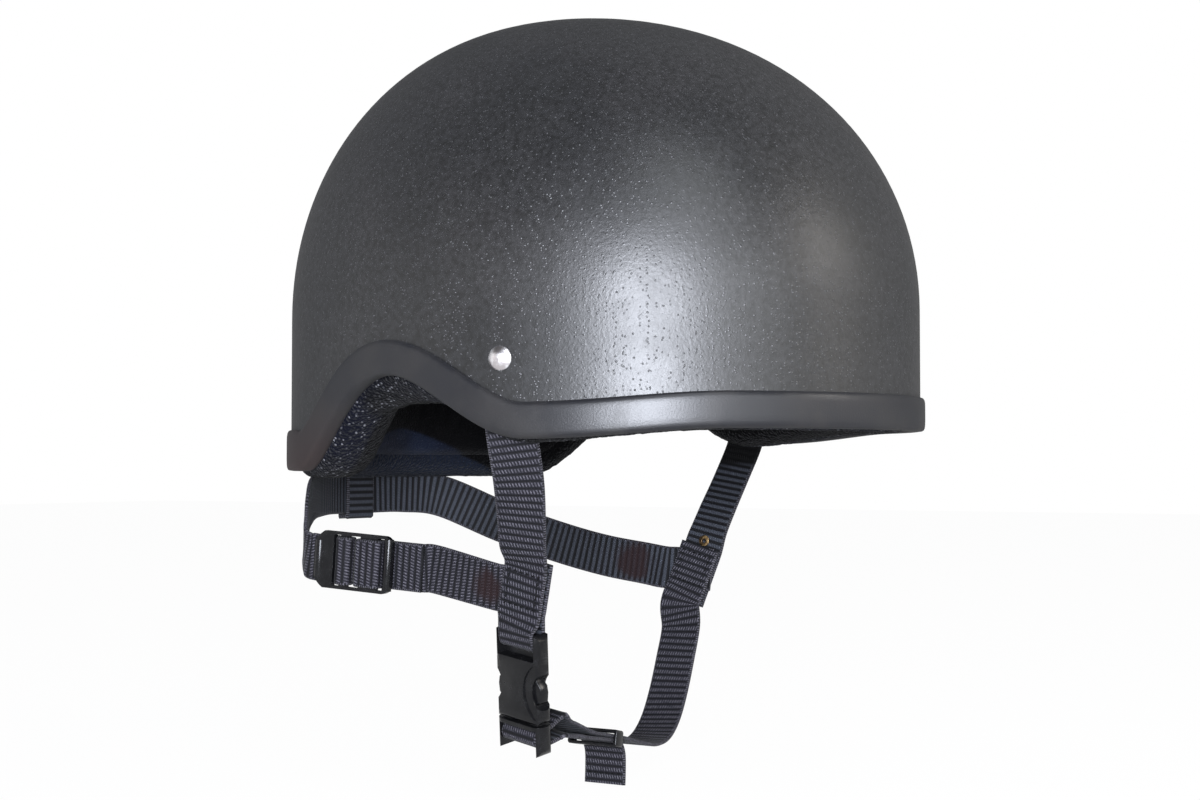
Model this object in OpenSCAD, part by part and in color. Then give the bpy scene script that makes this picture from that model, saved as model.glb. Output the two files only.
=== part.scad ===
// Riding helmet: a deep bowl shell with ear arches, a rubber edge trim, a padded
// inside and a four-point webbing harness with a side-release buckle.
// The wearer faces -Y and the wearer's right is -X. +Z is up. Sizes are millimetres.
// The origin is the centre of the head opening, level with the brow edge.

/* [Shell] */
// Length of the shell from brow to nape
shell_len = 284; // [276:1:292]
// Width of the shell from side to side
shell_w = 232; // [224:1:240]
// Height at which the upright wall turns into the dome
wall_h = 50.4; // [46:0.2:54]
// Height of the dome above the upright wall
dome_h = 130.2; // [124:0.2:136]
// How far the crown lies behind the middle of the opening
crown_back = 14.3; // [8:0.1:18]
// Squareness of the plan outline: 2 is a plain ellipse
plan_pow = 2.036; // [2:0.002:2.2]
// How slowly the dome draws in as it rises
draw_pow = 0.927; // [0.88:0.001:0.98]
// How steeply the dome rises off the wall
rise_pow = 0.98; // [0.94:0.001:1]
// Wall of the moulded shell
shell_t = 3.5; // [3:0.1:4]

/* [Rim line] */
// Where the level brow edge ends, in degrees round from the front
brow_end = 42; // [34:1:48]
// Lowest place of the cheek, in degrees round from the front
cheek_angle = 77; // [72:0.5:79]
// How far the cheek dips below the brow edge
cheek_drop = 4; // [2:0.1:6]
// Top of the ear arch, in degrees round from the front
arch_angle = 102.5; // [100:0.5:105]
// Height of the ear arch above the brow edge
arch_rise = 21.5; // [18:0.5:24]
// Where the level nape edge starts, in degrees round from the front
nape_angle = 132; // [130:0.5:136]
// How far the nape edge lies below the brow edge
nape_drop = 16.5; // [14:0.5:19]

/* [Edge trim] */
// Height of the outer leg of the trim
trim_h = 14; // [12:0.5:15]
// Height of the inner leg of the trim
trim_in_h = 10; // [8:0.5:11]
// Thickness of the outer leg
trim_out_t = 1.9; // [1.5:0.1:2.4]
// Thickness of the inner leg
trim_in_t = 1.6; // [1.2:0.1:1.8]
// Thickness of the trim under the edge of the shell
trim_floor = 1.8; // [1.4:0.1:2.2]
// Play between the trim and the shell
trim_play = 0.25; // [0.2:0.05:0.35]

/* [Inside] */
// Thickness of the impact liner
liner_t = 17.6; // [15:0.1:19]
// Thickness of the loop-pile comfort lining
lining_t = 5.8; // [4.5:0.1:6.5]
// Thickness of the lining's flange under the liner
flange_t = 4; // [3:0.1:4.5]
// Play between the layers inside the shell
layer_play = 0.3; // [0.2:0.05:0.4]
// Greatest thickness of the brow pad
brow_pad_t = 8; // [6:0.5:10]
// How far the brow pad reaches round to each side, in degrees
brow_pad_reach = 58; // [50:1:60]
// Height of the top of the brow pad
brow_pad_top = 38; // [34:1:42]
// Greatest thickness of the nape pad
nape_pad_t = 10; // [7:0.5:12]
// How far the nape pad reaches round to each side, in degrees
nape_pad_reach = 56; // [50:1:58]
// Height of the top of the nape pad
nape_pad_top = 34; // [30:1:38]
// Greatest thickness of the temple pads
temple_pad_t = 6; // [5:0.5:8]
// Greatest thickness of the crown pad
crown_pad_t = 9; // [6:0.5:12]

/* [Rivets] */
// Place of the side rivets, in degrees round from the front
rivet_angle = 80.9; // [80:0.1:82]
// Height of the side rivets
rivet_z = 26.5; // [24:0.5:28]
// Height of the rear rivet
rear_rivet_z = 20; // [16:0.5:24]
// Diameter of a rivet's domed head
rivet_head_d = 10; // [9:0.5:12]
// Height of a rivet's domed head
rivet_head_h = 2.2; // [1.8:0.1:2.8]
// Diameter of a rivet's shank
rivet_shank_d = 4.8; // [4:0.1:5]
// Diameter of the washers behind the webbing
washer_d = 13; // [12:0.5:15]
// Thickness of the washers
washer_t = 1; // [0.8:0.1:1.2]

/* [Webbing] */
// Width of the webbing
web_w = 20; // [19:0.5:20.5]
// Thickness of the webbing
web_t = 1.6; // [1.2:0.1:1.8]
// Play between layers of webbing
web_play = 0.2; // [0.15:0.05:0.3]

/* [Side-release buckle] */
// Width of the buckle
buckle_w = 25.6; // [25:0.2:28]
// Thickness of the buckle
buckle_t = 9; // [8.6:0.1:10]
// Length of the socket from its mouth to the end of its cheeks
socket_len = 38; // [37:0.5:40]
// Length of the plug's frame outside the socket
plug_frame_len = 14; // [14:0.5:16]
// Width of the tunnel that takes the plug
tunnel_w = 21; // [21:0.1:21.4]
// Height of the tunnel that takes the plug
tunnel_t = 5.4; // [5.2:0.1:5.6]
// Running clearance between plug and socket
buckle_play = 0.3; // [0.2:0.05:0.35]
// Diameter of the bars that carry the webbing
bar_d = 4.2; // [3.8:0.1:4.4]

/* [Adjuster and keeper] */
// Length of the three-slot adjuster along the webbing
adjuster_len = 38; // [38:0.5:41]
// Width of the adjuster across the webbing
adjuster_w = 24; // [24:0.5:27]
// Thickness of the adjuster's bars
adjuster_t = 2.6; // [2.2:0.1:2.8]
// Length of the keeper ring along the webbing
keeper_len = 6; // [5:0.5:8]
// Wall of the keeper ring
keeper_t = 1.4; // [1.2:0.1:2]

/* [Hidden] */
$fn = 48;
shell_color = [0.16, 0.17, 0.19];
trim_color = [0.2, 0.2, 0.22];
foam_color = [0.1, 0.1, 0.11];
pile_color = [0.08, 0.08, 0.1];
navy_color = [0.07, 0.09, 0.16];
metal_color = [0.8, 0.8, 0.8];
web_color = [0.13, 0.14, 0.19];
nylon_color = [0.05, 0.05, 0.055];
brass_color = [0.6, 0.5, 0.25];
// Columns round the helmet
cols = 72;
// Rows up the dome, the same on the shell and on the layers inside it
rows = 8;
// Depths below the outer face of the shell
trim_in_depth = shell_t + trim_play + trim_in_t;
liner_depth = shell_t + layer_play;
lining_depth = liner_depth + liner_t + layer_play;
pad_depth = lining_depth + lining_t + layer_play;
// Heights above the lower edge of the trim
shell_lift = trim_floor + trim_play;
flange_lift = 0.8;
liner_lift = flange_lift + flange_t + layer_play;
// Distance between the middles of two layers of webbing
layer_step = web_t + web_play;
web_hole_d = rivet_shank_d + 0.4;

// Shape of the helmet

function spow(v, p) = sign(v) * pow(abs(v), p);
function unit(v) = v / norm(v);
function ease(u) = (1 - cos(180 * u)) / 2;

// Plan outline at a degrees round from the brow, t below the outer face
function plan(a, t) = [
    -(shell_w / 2 - t) * spow(sin(a), 2 / plan_pow),
    -(shell_len / 2 - t) * spow(cos(a), 2 / plan_pow)];

// Height of the rim: level brow, cheek dip, ear arch, low nape
function edge_z(a) =
    let (b = abs((a + 540) % 360 - 180))
    b < brow_end ? 0
    : b < cheek_angle
        ? -cheek_drop * ease((b - brow_end) / (cheek_angle - brow_end))
    : b < arch_angle
        ? -cheek_drop + (arch_rise + cheek_drop)
            * ease((b - cheek_angle) / (arch_angle - cheek_angle))
    : b < nape_angle
        ? arch_rise - (arch_rise + nape_drop)
            * ease((b - arch_angle) / (nape_angle - arch_angle))
    : -nape_drop;

function edge_step(a) = norm(plan(a + 1, 0) - plan(a - 1, 0)) / 2;
function edge_slope(a) = atan((edge_z(a + 1) - edge_z(a - 1)) / 2 / edge_step(a));

// Point h above the rim, square to the rim line and t below the outer face
function rim(a, h, t) =
    let (s = edge_slope(a), p = plan(a - h * sin(s) / edge_step(a), t))
    [p.x, p.y, edge_z(a) + h * cos(s)];

// Point on the dome: s runs from 0 at the top of the wall to 1 at the crown
function dome(a, s, t) =
    let (draw = pow(max(cos(90 * s), 0), draw_pow), p = plan(a, t) * draw)
    [p.x, p.y + crown_back * (1 - draw),
        wall_h + (dome_h - t) * pow(sin(90 * s), rise_pow)];

function rim_ring(h, t) = [for (i = [0:cols - 1]) rim(360 * i / cols, h, t)];
function dome_ring(s, t) = [for (i = [0:cols - 1]) dome(360 * i / cols, s, t)];
function dome_rings(t) = [for (i = [0:rows - 1]) dome_ring(i / rows, t)];
function backwards(list) = [for (i = [len(list) - 1:-1:0]) list[i]];
function flat(rings) = [for (r = rings) each r];

// Side faces of m rings of n points each. From ring number lean on, the quads are split
// along their other diagonal, so that both faces of a wall are split alike.
function band(m, n, closed = false, lean = 1000) = [
    for (i = [0:m - (closed ? 1 : 2)], j = [0:n - 1])
        let (k = (j + 1) % n, i2 = (i + 1) % m,
            a = i * n + j, b = i * n + k, c = i2 * n + j, d = i2 * n + k)
        each i < lean ? [[a, d, b], [a, c, d]] : [[a, c, b], [b, c, d]]];

// Rings of n points each from one pole to the other, which are the last two points
module domed(rings, n, poles, lean = 1000) {
    m = len(rings);
    polyhedron(
        points = concat(flat(rings), poles),
        faces = concat(band(m, n, lean = lean),
            [for (j = [0:n - 1]) [m * n, j, (j + 1) % n]],
            [for (j = [0:n - 1]) [m * n + 1, (m - 1) * n + (j + 1) % n, (m - 1) * n + j]]));
}

// Hollow bowl: from the crown down the outside, round the rim and up the inside
module bowl(outside, inside, t_out, t_in) {
    domed(concat(backwards(outside), inside), cols,
        [dome(0, 1, t_out), dome(0, 1, t_in)], len(outside) - 1);
}

// Crowned pad on the lining: a runs from a0 to a1, and s up the pad from 0 to 1
function swell(u, v, most) =
    1.2 + (most - 1.2) * sqrt(max(0, 1 - pow(abs(2 * u - 1), 5)))
        * sqrt(max(0, 1 - pow(abs(2 * v - 1), 4)));

module pad(place_at, across, up, most) {
    n = across + 1;
    back = [for (i = [0:up], j = [0:across]) place_at(j / across, i / up, pad_depth)];
    front = [for (i = [0:up], j = [0:across])
        place_at(j / across, i / up, pad_depth + swell(j / across, i / up, most))];
    half = len(back);
    quads = [for (i = [0:up - 1], j = [0:across - 1]) [i, j]];
    border = concat(
        [for (j = [0:across - 1]) [j, j + 1]],
        [for (i = [0:up - 1]) [i * n + across, (i + 1) * n + across]],
        [for (j = [across - 1:-1:0]) [up * n + j + 1, up * n + j]],
        [for (i = [up - 1:-1:0]) [(i + 1) * n, i * n]]);
    polyhedron(points = concat(back, front), faces = concat(
        [for (q = quads) let (p = q[0] * n + q[1])
            each [[p, p + 1, p + n + 1], [p, p + n + 1, p + n]]],
        [for (q = quads) let (p = half + q[0] * n + q[1])
            each [[p, p + n + 1, p + 1], [p, p + n, p + n + 1]]],
        [for (b = border)
            each [[b[0], half + b[1], b[1]], [b[0], half + b[0], half + b[1]]]]));
}

// Frames of the parts that hang at an angle

function turn_x(p, a) = [p.x, p.y * cos(a) - p.z * sin(a), p.y * sin(a) + p.z * cos(a)];
function turn_y(p, a) = [p.x * cos(a) + p.z * sin(a), p.y, p.z * cos(a) - p.x * sin(a)];
function turn_z(p, a) = [p.x * cos(a) - p.y * sin(a), p.x * sin(a) + p.y * cos(a), p.z];
function turned(p, r) = turn_z(turn_y(turn_x(p, r[0]), r[1]), r[2]);

// Middle of the socket's mouth. Local +Z runs up the buckle and -X faces out.
buckle_at = [-66.7, -4.2, -116.7];
buckle_turn = [7, -9, -15];
function buckle(p) = buckle_at + turned(p, buckle_turn);
buckle_across = turned([0, 1, 0], buckle_turn);
// Middle of the adjuster. Local +Y runs to the rear and -X faces out.
adjuster_at = [-83, 70.1, -54.4];
adjuster_turn = [4, 0, 4];
function adjuster(p) = adjuster_at + turned(p, adjuster_turn);
adjuster_up = turned([0, 0, 1], adjuster_turn);
// Middle of the keeper. Local +X runs along the chin strap.
keeper_at = [-16, -8, -130];
keeper_turn = [0, 12.4, 0];
function keeper(p) = keeper_at + turned(p, keeper_turn);

// Webbing

function spline_at(a, b, c, d, u) =
    (2 * b + (c - a) * u + (2 * a - 5 * b + 4 * c - d) * u * u
        + (3 * b - a - 3 * c + d) * u * u * u) / 2;
function spline(list, n) = let (last = len(list) - 1) [
    for (i = [0:last - 1], k = [0:n - 1])
        spline_at(list[max(i - 1, 0)], list[i], list[i + 1], list[min(i + 2, last)], k / n),
    list[last]];

// Flat webbing along a route of [point, direction across the webbing] pairs
module webbing(route, n = 3) {
    path = spline([for (r = route) r[0]], n);
    sides = spline([for (r = route) r[1]], n);
    last = len(path) - 1;
    rings = [for (i = [0:last])
        let (along = unit(path[min(i + 1, last)] - path[max(i - 1, 0)]),
            across = unit(sides[i] - (sides[i] * along) * along) * web_w / 2,
            through = unit(cross(along, across)) * web_t / 2)
        [path[i] + across + through, path[i] - across + through,
            path[i] - across - through, path[i] + across - through]];
    polyhedron(points = flat(rings), faces = concat(band(last + 1, 4),
        [[0, 1, 2], [0, 2, 3]],
        [[4 * last, 4 * last + 2, 4 * last + 1], [4 * last, 4 * last + 3, 4 * last + 2]]));
}

// How far a wall of radius r comes in behind half the webbing's width
function bend_in(r) = r - sqrt(r * r - web_w * web_w / 4);
side_bend = bend_in(pow(shell_len, 2) / shell_w / 2);
rear_bend = bend_in(pow(shell_w, 2) / shell_len / 2);

// Where the side webbing lies behind the shell, and how it lies there
side_web_depth = liner_depth + side_bend + web_t / 2;
side_web = plan(rivet_angle, side_web_depth);
side_dir = unit([for (k = [0:2]) k == 2 ? 0
    : (plan(rivet_angle + 1, 0) - plan(rivet_angle - 1, 0))[k]]);
rivet_face = plan(rivet_angle, 0);
rivet_turn = 180 - atan2(side_dir.x, side_dir.y);
exit_web = plan(rivet_angle, trim_in_depth + layer_play + side_bend + web_t / 2 + 1);
web_above_rivet = 12;

// Upper webbing of the right side, from behind the shell to under the rim
side_top = [
    [[side_web.x, side_web.y, rivet_z + web_above_rivet], side_dir],
    [[side_web.x, side_web.y, rivet_z], side_dir],
    [[side_web.x, side_web.y, rivet_z - washer_d / 2 - 1], side_dir],
    [[exit_web.x - 0.6, side_web.y, 12], side_dir],
    [[exit_web.x, exit_web.y, 6], side_dir],
    [[exit_web.x + 3.2, exit_web.y, -4], side_dir]];

// Places where three layers are sewn. Local +Z runs up the side webbing, +X points in.
junction_right = [-78.8, -11, -62.5];
junction_right_turn = [15, -9.5, 0];
junction_left = [81.6, -7, -62.5];
junction_left_turn = [17, 10.5, 4];
sewn_step = layer_step + 0.2;
function right_junction(p) = junction_right + turned(p, junction_right_turn);
function left_junction(p) = junction_left + turned([-p.x, p.y, p.z], junction_left_turn);
right_across = turned([0, 1, 0], junction_right_turn);
left_across = turned([0, 1, 0], junction_left_turn);
// The straps to the rear cross the side webbing at these angles
cross_right = 6;
cross_left = 15;
function crossing(y, lift, a) = [sewn_step, y * cos(a), lift - y * sin(a)];
function cross_up(a) = [0, sin(a), cos(a)];

// Middles of the bars in the buckle's own frame
socket_bar_z = socket_len - 4.5;
plug_bar_z = -plug_frame_len / 2 + 0.8;
bar_path = bar_d / 2 + web_play + web_t / 2;
function around_bar(z, a) = [bar_path * cos(a), 0, z + bar_path * sin(a)];
// How far inside the adjuster's middle its two layers of webbing lie
adjuster_end_d = adjuster_t + 1.4;
near_web = adjuster_end_d / 2 + web_play + web_t / 2;
far_web = near_web + layer_step;

// Parts

module at_side_rivet() {
    translate([rivet_face.x, rivet_face.y, rivet_z])
        rotate([0, 0, rivet_turn]) rotate([0, 90, 0]) children();
}

module at_rear_rivet() {
    translate([0, shell_len / 2, rear_rivet_z]) rotate([-90, 0, 0]) children();
}

module mirrored() {
    mirror([1, 0, 0]) children();
}

// Rivet, with local +Z out of the shell: dome head, shank and upset end
upset_depth = liner_depth + rear_bend + web_t + washer_t + 2 * web_play;
module rivet() {
    color(metal_color) rotate_extrude() {
        intersection() {
            sphere_r = (pow(rivet_head_d / 2, 2) + pow(rivet_head_h, 2)) / (2 * rivet_head_h);
            translate([0, rivet_head_h - sphere_r]) circle(sphere_r, $fn = 96);
            translate([0, 0.1]) square([rivet_head_d, rivet_head_h]);
        }
        translate([0, -upset_depth - 1]) square([rivet_shank_d / 2, upset_depth + 1.5]);
        translate([0, -upset_depth - 1.2]) square([rivet_shank_d / 2 + 1.2, 1.2]);
    }
}

module rivet_hole() {
    translate([0, 0, -upset_depth]) cylinder(d = web_hole_d, h = upset_depth + 2);
}

module washer() {
    color(metal_color) translate([0, 0, -upset_depth + web_play / 2]) difference() {
        cylinder(d = washer_d, h = washer_t);
        translate([0, 0, -1]) cylinder(d = web_hole_d, h = washer_t + 2);
    }
}

// Rooms in the inner layers for the webbing, the washer and the rivet's end
room_w = web_w + 4;
module room(depth, low, high) {
    translate([-depth, -room_w / 2, low]) cube([depth - 1.5, room_w, high - low]);
}

module side_room() {
    translate([rivet_face.x, rivet_face.y, 0]) rotate([0, 0, rivet_turn]) {
        room(upset_depth + 2.5, 8, rivet_z + web_above_rivet + 2);
        room(trim_in_depth + web_t + 10, -14, 16);
    }
}

module rear_room() {
    translate([0, shell_len / 2, 0]) rotate([0, 0, 90]) {
        room(upset_depth + 2.5, 4, rear_rivet_z + web_above_rivet + 2);
        room(trim_in_depth + 3 * layer_step + 2.5, -nape_drop - 8, 8);
    }
}

module shell() {
    lifts = [shell_lift, trim_h - 0.6];
    color(shell_color) difference() {
        bowl(
            concat([for (h = lifts) rim_ring(h, 0)], dome_rings(0)),
            concat([for (h = lifts) rim_ring(h, shell_t)], dome_rings(shell_t)),
            0, shell_t);
        at_side_rivet() rivet_hole();
        mirrored() at_side_rivet() rivet_hole();
        at_rear_rivet() rivet_hole();
    }
}

// U-shaped trim that grips the edge of the shell: [depth, height] round the section
module edge_trim() {
    far = trim_in_depth;
    near = shell_t + trim_play;
    section = [
        [-0.8, 0], [-1.6, 0.8], [-trim_out_t, 2.4], [-trim_out_t, trim_h - 2.6],
        [-trim_out_t + 0.5, trim_h - 0.8], [-trim_play - 0.3, trim_h], [-trim_play, trim_h - 0.6],
        [-trim_play, trim_floor], [near, trim_floor], [near, trim_in_h],
        [far, trim_in_h - 0.6], [far, 1.4], [far - 1, 0]];
    rings = backwards([for (p = section) rim_ring(p[1], p[0])]);
    color(trim_color) polyhedron(points = flat(rings), faces = band(len(rings), cols, true));
}

// Foam liner with a rebate for the inner leg of the trim and rooms for the webbing
module impact_liner() {
    rebate = trim_in_depth + layer_play;
    inner = liner_depth + liner_t;
    color(foam_color) difference() {
        bowl(
            concat([rim_ring(liner_lift, rebate), rim_ring(trim_in_h + layer_play, rebate),
                rim_ring(trim_in_h + 2 * layer_play + 0.4, liner_depth)],
                dome_rings(liner_depth)),
            concat([rim_ring(liner_lift, inner)], dome_rings(inner)),
            liner_depth, inner);
        side_room();
        mirrored() side_room();
        rear_room();
    }
}

// Loop-pile lining inside the liner, with a rolled flange that covers its lower edge
module comfort_lining() {
    reach = trim_in_depth + layer_play;
    inner = lining_depth + lining_t;
    color(pile_color) difference() {
        bowl(
            concat([rim_ring(flange_lift + 0.8, reach), rim_ring(flange_lift + flange_t, reach),
                rim_ring(flange_lift + flange_t, lining_depth)],
                dome_rings(lining_depth)),
            concat([rim_ring(flange_lift, inner - 3), rim_ring(flange_lift + 2.4, inner)],
                dome_rings(inner)),
            lining_depth, inner);
        side_room();
        mirrored() side_room();
        rear_room();
    }
}

// Pad places: u runs across the pad and v up it
pad_foot = 7;
module upright_pad(a0, a1, low, high, most, across) {
    pad(function (u, v, t)
        let (a = a0 + (a1 - a0) * u, p = plan(a, t), foot = max(low, edge_z(a) + pad_foot))
        [p.x, p.y, foot + (high - foot) * v], across, 5, most);
}

module brow_pad() {
    color(pile_color)
        upright_pad(-brow_pad_reach, brow_pad_reach, pad_foot, brow_pad_top, brow_pad_t, 18);
}

module nape_pad() {
    color(navy_color) upright_pad(180 - nape_pad_reach, 180 + nape_pad_reach,
        -nape_drop + 4, nape_pad_top, nape_pad_t, 18);
}

module temple_pad_right() {
    color(pile_color) upright_pad(64, 116, pad_foot, wall_h - 4, temple_pad_t, 10);
}

module temple_pad_left() {
    mirrored() temple_pad_right();
}

// Pad in the top three rows of the dome
module crown_pad() {
    pad_cols = 24;
    reach = 3 / rows;
    fine = 6;
    most = crown_pad_t;
    function ring(s, depth) = [for (j = [0:pad_cols - 1]) dome(360 * j / pad_cols, s, depth)];
    back = [for (i = [1:3]) ring(1 - i / rows, pad_depth)];
    front = [for (i = [fine:-1:1])
        ring(1 - reach * i / fine, pad_depth + swell(0.5 + i / fine / 2, 0.5, most))];
    color(pile_color) domed(concat(back, front), pad_cols,
        [dome(0, 1, pad_depth), dome(0, 1, pad_depth + most)]);
}

module rivet_right() { at_side_rivet() rivet(); }
module rivet_left() { mirrored() at_side_rivet() rivet(); }
module rivet_rear() { at_rear_rivet() rivet(); }
module washer_right() { at_side_rivet() washer(); }
module washer_left() { mirrored() at_side_rivet() washer(); }
module washer_rear() { at_rear_rivet() washer(); }

// Right side webbing: down to the socket's bar, round it and up to the junction inside
module side_strap_right() {
    down = buckle_across;
    top_end = side_top[5];
    route = concat([for (i = [0:4]) side_top[i]], [[top_end[0], turn_z(top_end[1], 20)]],
        [[[-97, -20.5, -20], turn_z(side_dir, 18)],
            [[-89.5, -17, -35], turn_z([0, 1, 0], 15)],
            [[-84.4, -14.4, -46], turn_z([0, 1, 0], 9)]],
        [for (z = [9, 0, -12]) [right_junction([0, 0, z]), right_across]],
        [[buckle([-bar_path - 0.2, 0, socket_bar_z + 5]), down]],
        [for (a = [180:30:360]) [buckle(around_bar(socket_bar_z, a)), down]],
        [[buckle([bar_path + 0.1, 0, socket_bar_z + 6]), down]],
        [for (z = [-10, 0, 9, 11]) [right_junction([2 * sewn_step, 0, z]), right_across]]);
    color(web_color) difference() {
        webbing(route);
        at_side_rivet() rivet_hole();
    }
}

// Left side webbing: ends below the junction, outside the chin strap
left_drop = [
    [[97, -18, -20], [0.12, 0.99, 0]],
    [[89.5, -14.3, -35], [0.07, 0.99, 0]],
    [[84.8, -11.6, -46], [0.03, 1, 0]]];

// Small brass eyelet above the left junction, square to the webbing
function left_path(u) = spline_at(left_drop[1][0], left_drop[2][0],
    left_junction([0, 0, 9]), left_junction([0, 0, 0]), u);
eyelet_at = (left_path(1 / 3) + left_path(2 / 3)) / 2;
eyelet_out = unit(cross(left_path(2 / 3) - left_path(1 / 3), (left_drop[2][1] + left_across) / 2));
module at_eyelet() {
    translate(eyelet_at)
        rotate([0, acos(eyelet_out.z), atan2(eyelet_out.y, eyelet_out.x)]) children();
}

module side_strap_left() {
    route = concat(
        [for (r = side_top) [[-r[0].x, r[0].y, r[0].z], [-r[1].x, r[1].y, 0]]],
        left_drop,
        [for (z = [9, 0, -9, -17]) [left_junction([0, 0, z]), left_across]]);
    color(web_color) difference() {
        webbing(route);
        mirrored() at_side_rivet() rivet_hole();
        at_eyelet() cylinder(d = 3.4, h = 12, center = true);
    }
}

module strap_eyelet() {
    lip = web_t / 2 + web_play + 0.15;
    color(brass_color) at_eyelet() rotate_extrude() {
        translate([1, -lip - 0.6]) square([0.6, 2 * lip + 1.2]);
        for (z = [-lip - 0.6, lip]) translate([1, z]) square([1.6, 0.6]);
    }
}

// Webbing loop riveted inside the nape, which carries the nape strap
hanger_y = shell_len / 2 - trim_in_depth - layer_play - rear_bend - web_t / 2;
hanger_step = layer_step + 0.5;
nape_strap_z = -nape_drop - web_w / 2 - 0.5;
module nape_hanger() {
    top_y = shell_len / 2 - liner_depth - rear_bend - web_t / 2;
    low = nape_strap_z - web_w / 2;
    depth = web_t / 2 + web_play + 0.2;
    side = [1, 0, 0];
    y = hanger_y;
    turns = [for (a = [0:-45:-180])
        [[0, y - hanger_step + hanger_step * cos(a), low + depth * sin(a)], side]];
    route = concat(
        [[[0, top_y, rear_rivet_z + web_above_rivet], side], [[0, top_y, rear_rivet_z], side],
            [[0, top_y - 0.4, rear_rivet_z - washer_d / 2 - 2.5], side], [[0, y, 0], side],
            [[0, y, -nape_drop], side]],
        turns,
        [[[0, y - 2 * hanger_step, nape_strap_z + web_w / 2 + 1], side],
            [[0, y - layer_step - 0.4, nape_strap_z + web_w / 2 + 9], side],
            [[0, y - layer_step, 6], side]]);
    color(web_color) difference() {
        webbing(route);
        at_rear_rivet() rivet_hole();
    }
}

// Nape strap: from the adjuster round the nape to the left junction
module nape_strap() {
    up = [0, 0, 1];
    color(web_color) webbing([
        for (y = [-1.2, 1.8]) [adjuster([near_web, adjuster_len / 2 + y, 0]), adjuster_up],
        [[-80.6, 95.6, -52.1], [-0.07, -0.1, 0.99]],
        [[-77.6, 100.2, -48.4], [-0.4, -0.36, 0.82]],
        [[-73.3, 103, -40.6], [-0.68, -0.52, 0.5]],
        [[-69.6, 105.2, -34.3], [-0.55, -0.4, 0.74]],
        [[-62.5, 109.4, -30], [-0.2, -0.12, 0.97]],
        [[-51.5, 116, -28.2], up],
        [[-38, 123.6, -27.6], up],
        [[-24, 129.4, nape_strap_z], up],
        [[-11, hanger_y - hanger_step - 0.5, nape_strap_z], up],
        [[0, hanger_y - hanger_step, nape_strap_z], up],
        [[11, hanger_y - hanger_step - 0.5, nape_strap_z], up],
        [[28, 126, -27], up],
        [[46, 115, -29.5], up],
        [[66, 92, -42.5], up],
        [[76, 66, -52], up],
        [[79.4, 42, -58], up],
        [[80, 20, -61.3], [0.05, 0, 1]],
        for (y = [16, 9, 0, -9]) [left_junction(crossing(y, -1.2, cross_left)),
            turned(cross_up(cross_left), junction_left_turn)]]);
}

// Rear right strap: from the right junction to the adjuster
module rear_strap_right() {
    color(web_color) webbing([
        for (y = [-6, 2, 9, 15]) [right_junction(crossing(y, -3, cross_right)),
            turned(cross_up(cross_right), junction_right_turn)],
        for (y = [-38, -31.5, -25.3]) [adjuster([far_web, y, 0]), adjuster_up]]);
}

// Flat oblong with round corners, in the XY plane
module oblong(x, y, r) {
    square([x - 2 * r, y], center = true);
    square([x, y - 2 * r], center = true);
    for (i = [-1, 1], j = [-1, 1]) translate([i * (x / 2 - r), j * (y / 2 - r)]) circle(r);
}

// Three-slot adjuster: a flat frame with two inner bars, round end bars and a round rear end
front_bar_inset = 6.8;
front_bar = [front_bar_inset - adjuster_len / 2, -3.6];
rear_bar = [2.4, 6];
slot_gap = 3.5;
adjuster_slots = [[front_bar[0] - slot_gap, front_bar[0]], [front_bar[1], rear_bar[0]],
    [rear_bar[1], rear_bar[1] + slot_gap]];
module adjuster_frame() {
    inner_w = web_w + 1.4;
    round_in = adjuster_w / 2;
    end_w = [inner_w, inner_w - 6];
    color(nylon_color) translate(adjuster_at) rotate(adjuster_turn) {
        rotate([0, -90, 0]) translate([0, 0, -adjuster_t / 2])
            linear_extrude(adjuster_t) difference() {
                intersection() {
                    oblong(adjuster_w, adjuster_len, 4);
                    union() {
                        translate([0, adjuster_len / 2 - round_in]) circle(round_in + 2, $fn = 96);
                        translate([-adjuster_w, -adjuster_len])
                            square([2 * adjuster_w, 1.5 * adjuster_len - round_in]);
                    }
                }
                for (s = adjuster_slots) translate([-inner_w / 2, s[0]])
                    square([inner_w, s[1] - s[0]]);
            }
        for (s = [0, 1])
            translate([0, (s - 0.5) * (adjuster_len - adjuster_end_d), -end_w[s] / 2])
                cylinder(d = adjuster_end_d, h = end_w[s]);
    }
}

// Webbing over the adjuster's inner bars: [out, along] stations in its own frame
module adjuster_wrap() {
    over = adjuster_t / 2 + web_play + web_t / 2 + 0.5;
    beside = web_t / 2 + web_play;
    tail = adjuster_len / 2 - 1.5;
    // round a bar's edge at y, coming from the side that the sign names
    function round_edge(y, side) =
        [[1.2, y + side * beside], [-1.2, y + side * beside],
            [-2.2, y + side * 0.6], [-over, y - side * 0.4]];
    front = concat(
        [[far_web, -25], [far_web, -9], [far_web - 0.7, front_bar[1] - 1]],
        round_edge(front_bar[1], 1), backwards(round_edge(front_bar[0], -1)),
        [[near_web - 0.6, front_bar[0] - 2.6], [near_web, front_bar[0] - 5],
            [near_web, -20], [near_web, -26], [near_web, -32]]);
    rear = concat(
        [[near_web, tail], [near_web, rear_bar[1] + 6], [near_web - 0.6, rear_bar[1] + 3]],
        round_edge(rear_bar[1], 1), backwards(round_edge(rear_bar[0], -1)),
        [[far_web - 0.6, rear_bar[0] + 0.6], [far_web, rear_bar[0] + 4], [far_web, tail]]);
    color(web_color) for (list = [front, rear])
        webbing([for (p = list) [adjuster([p[0], p[1], 0]), adjuster_up]], 2);
}

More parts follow.
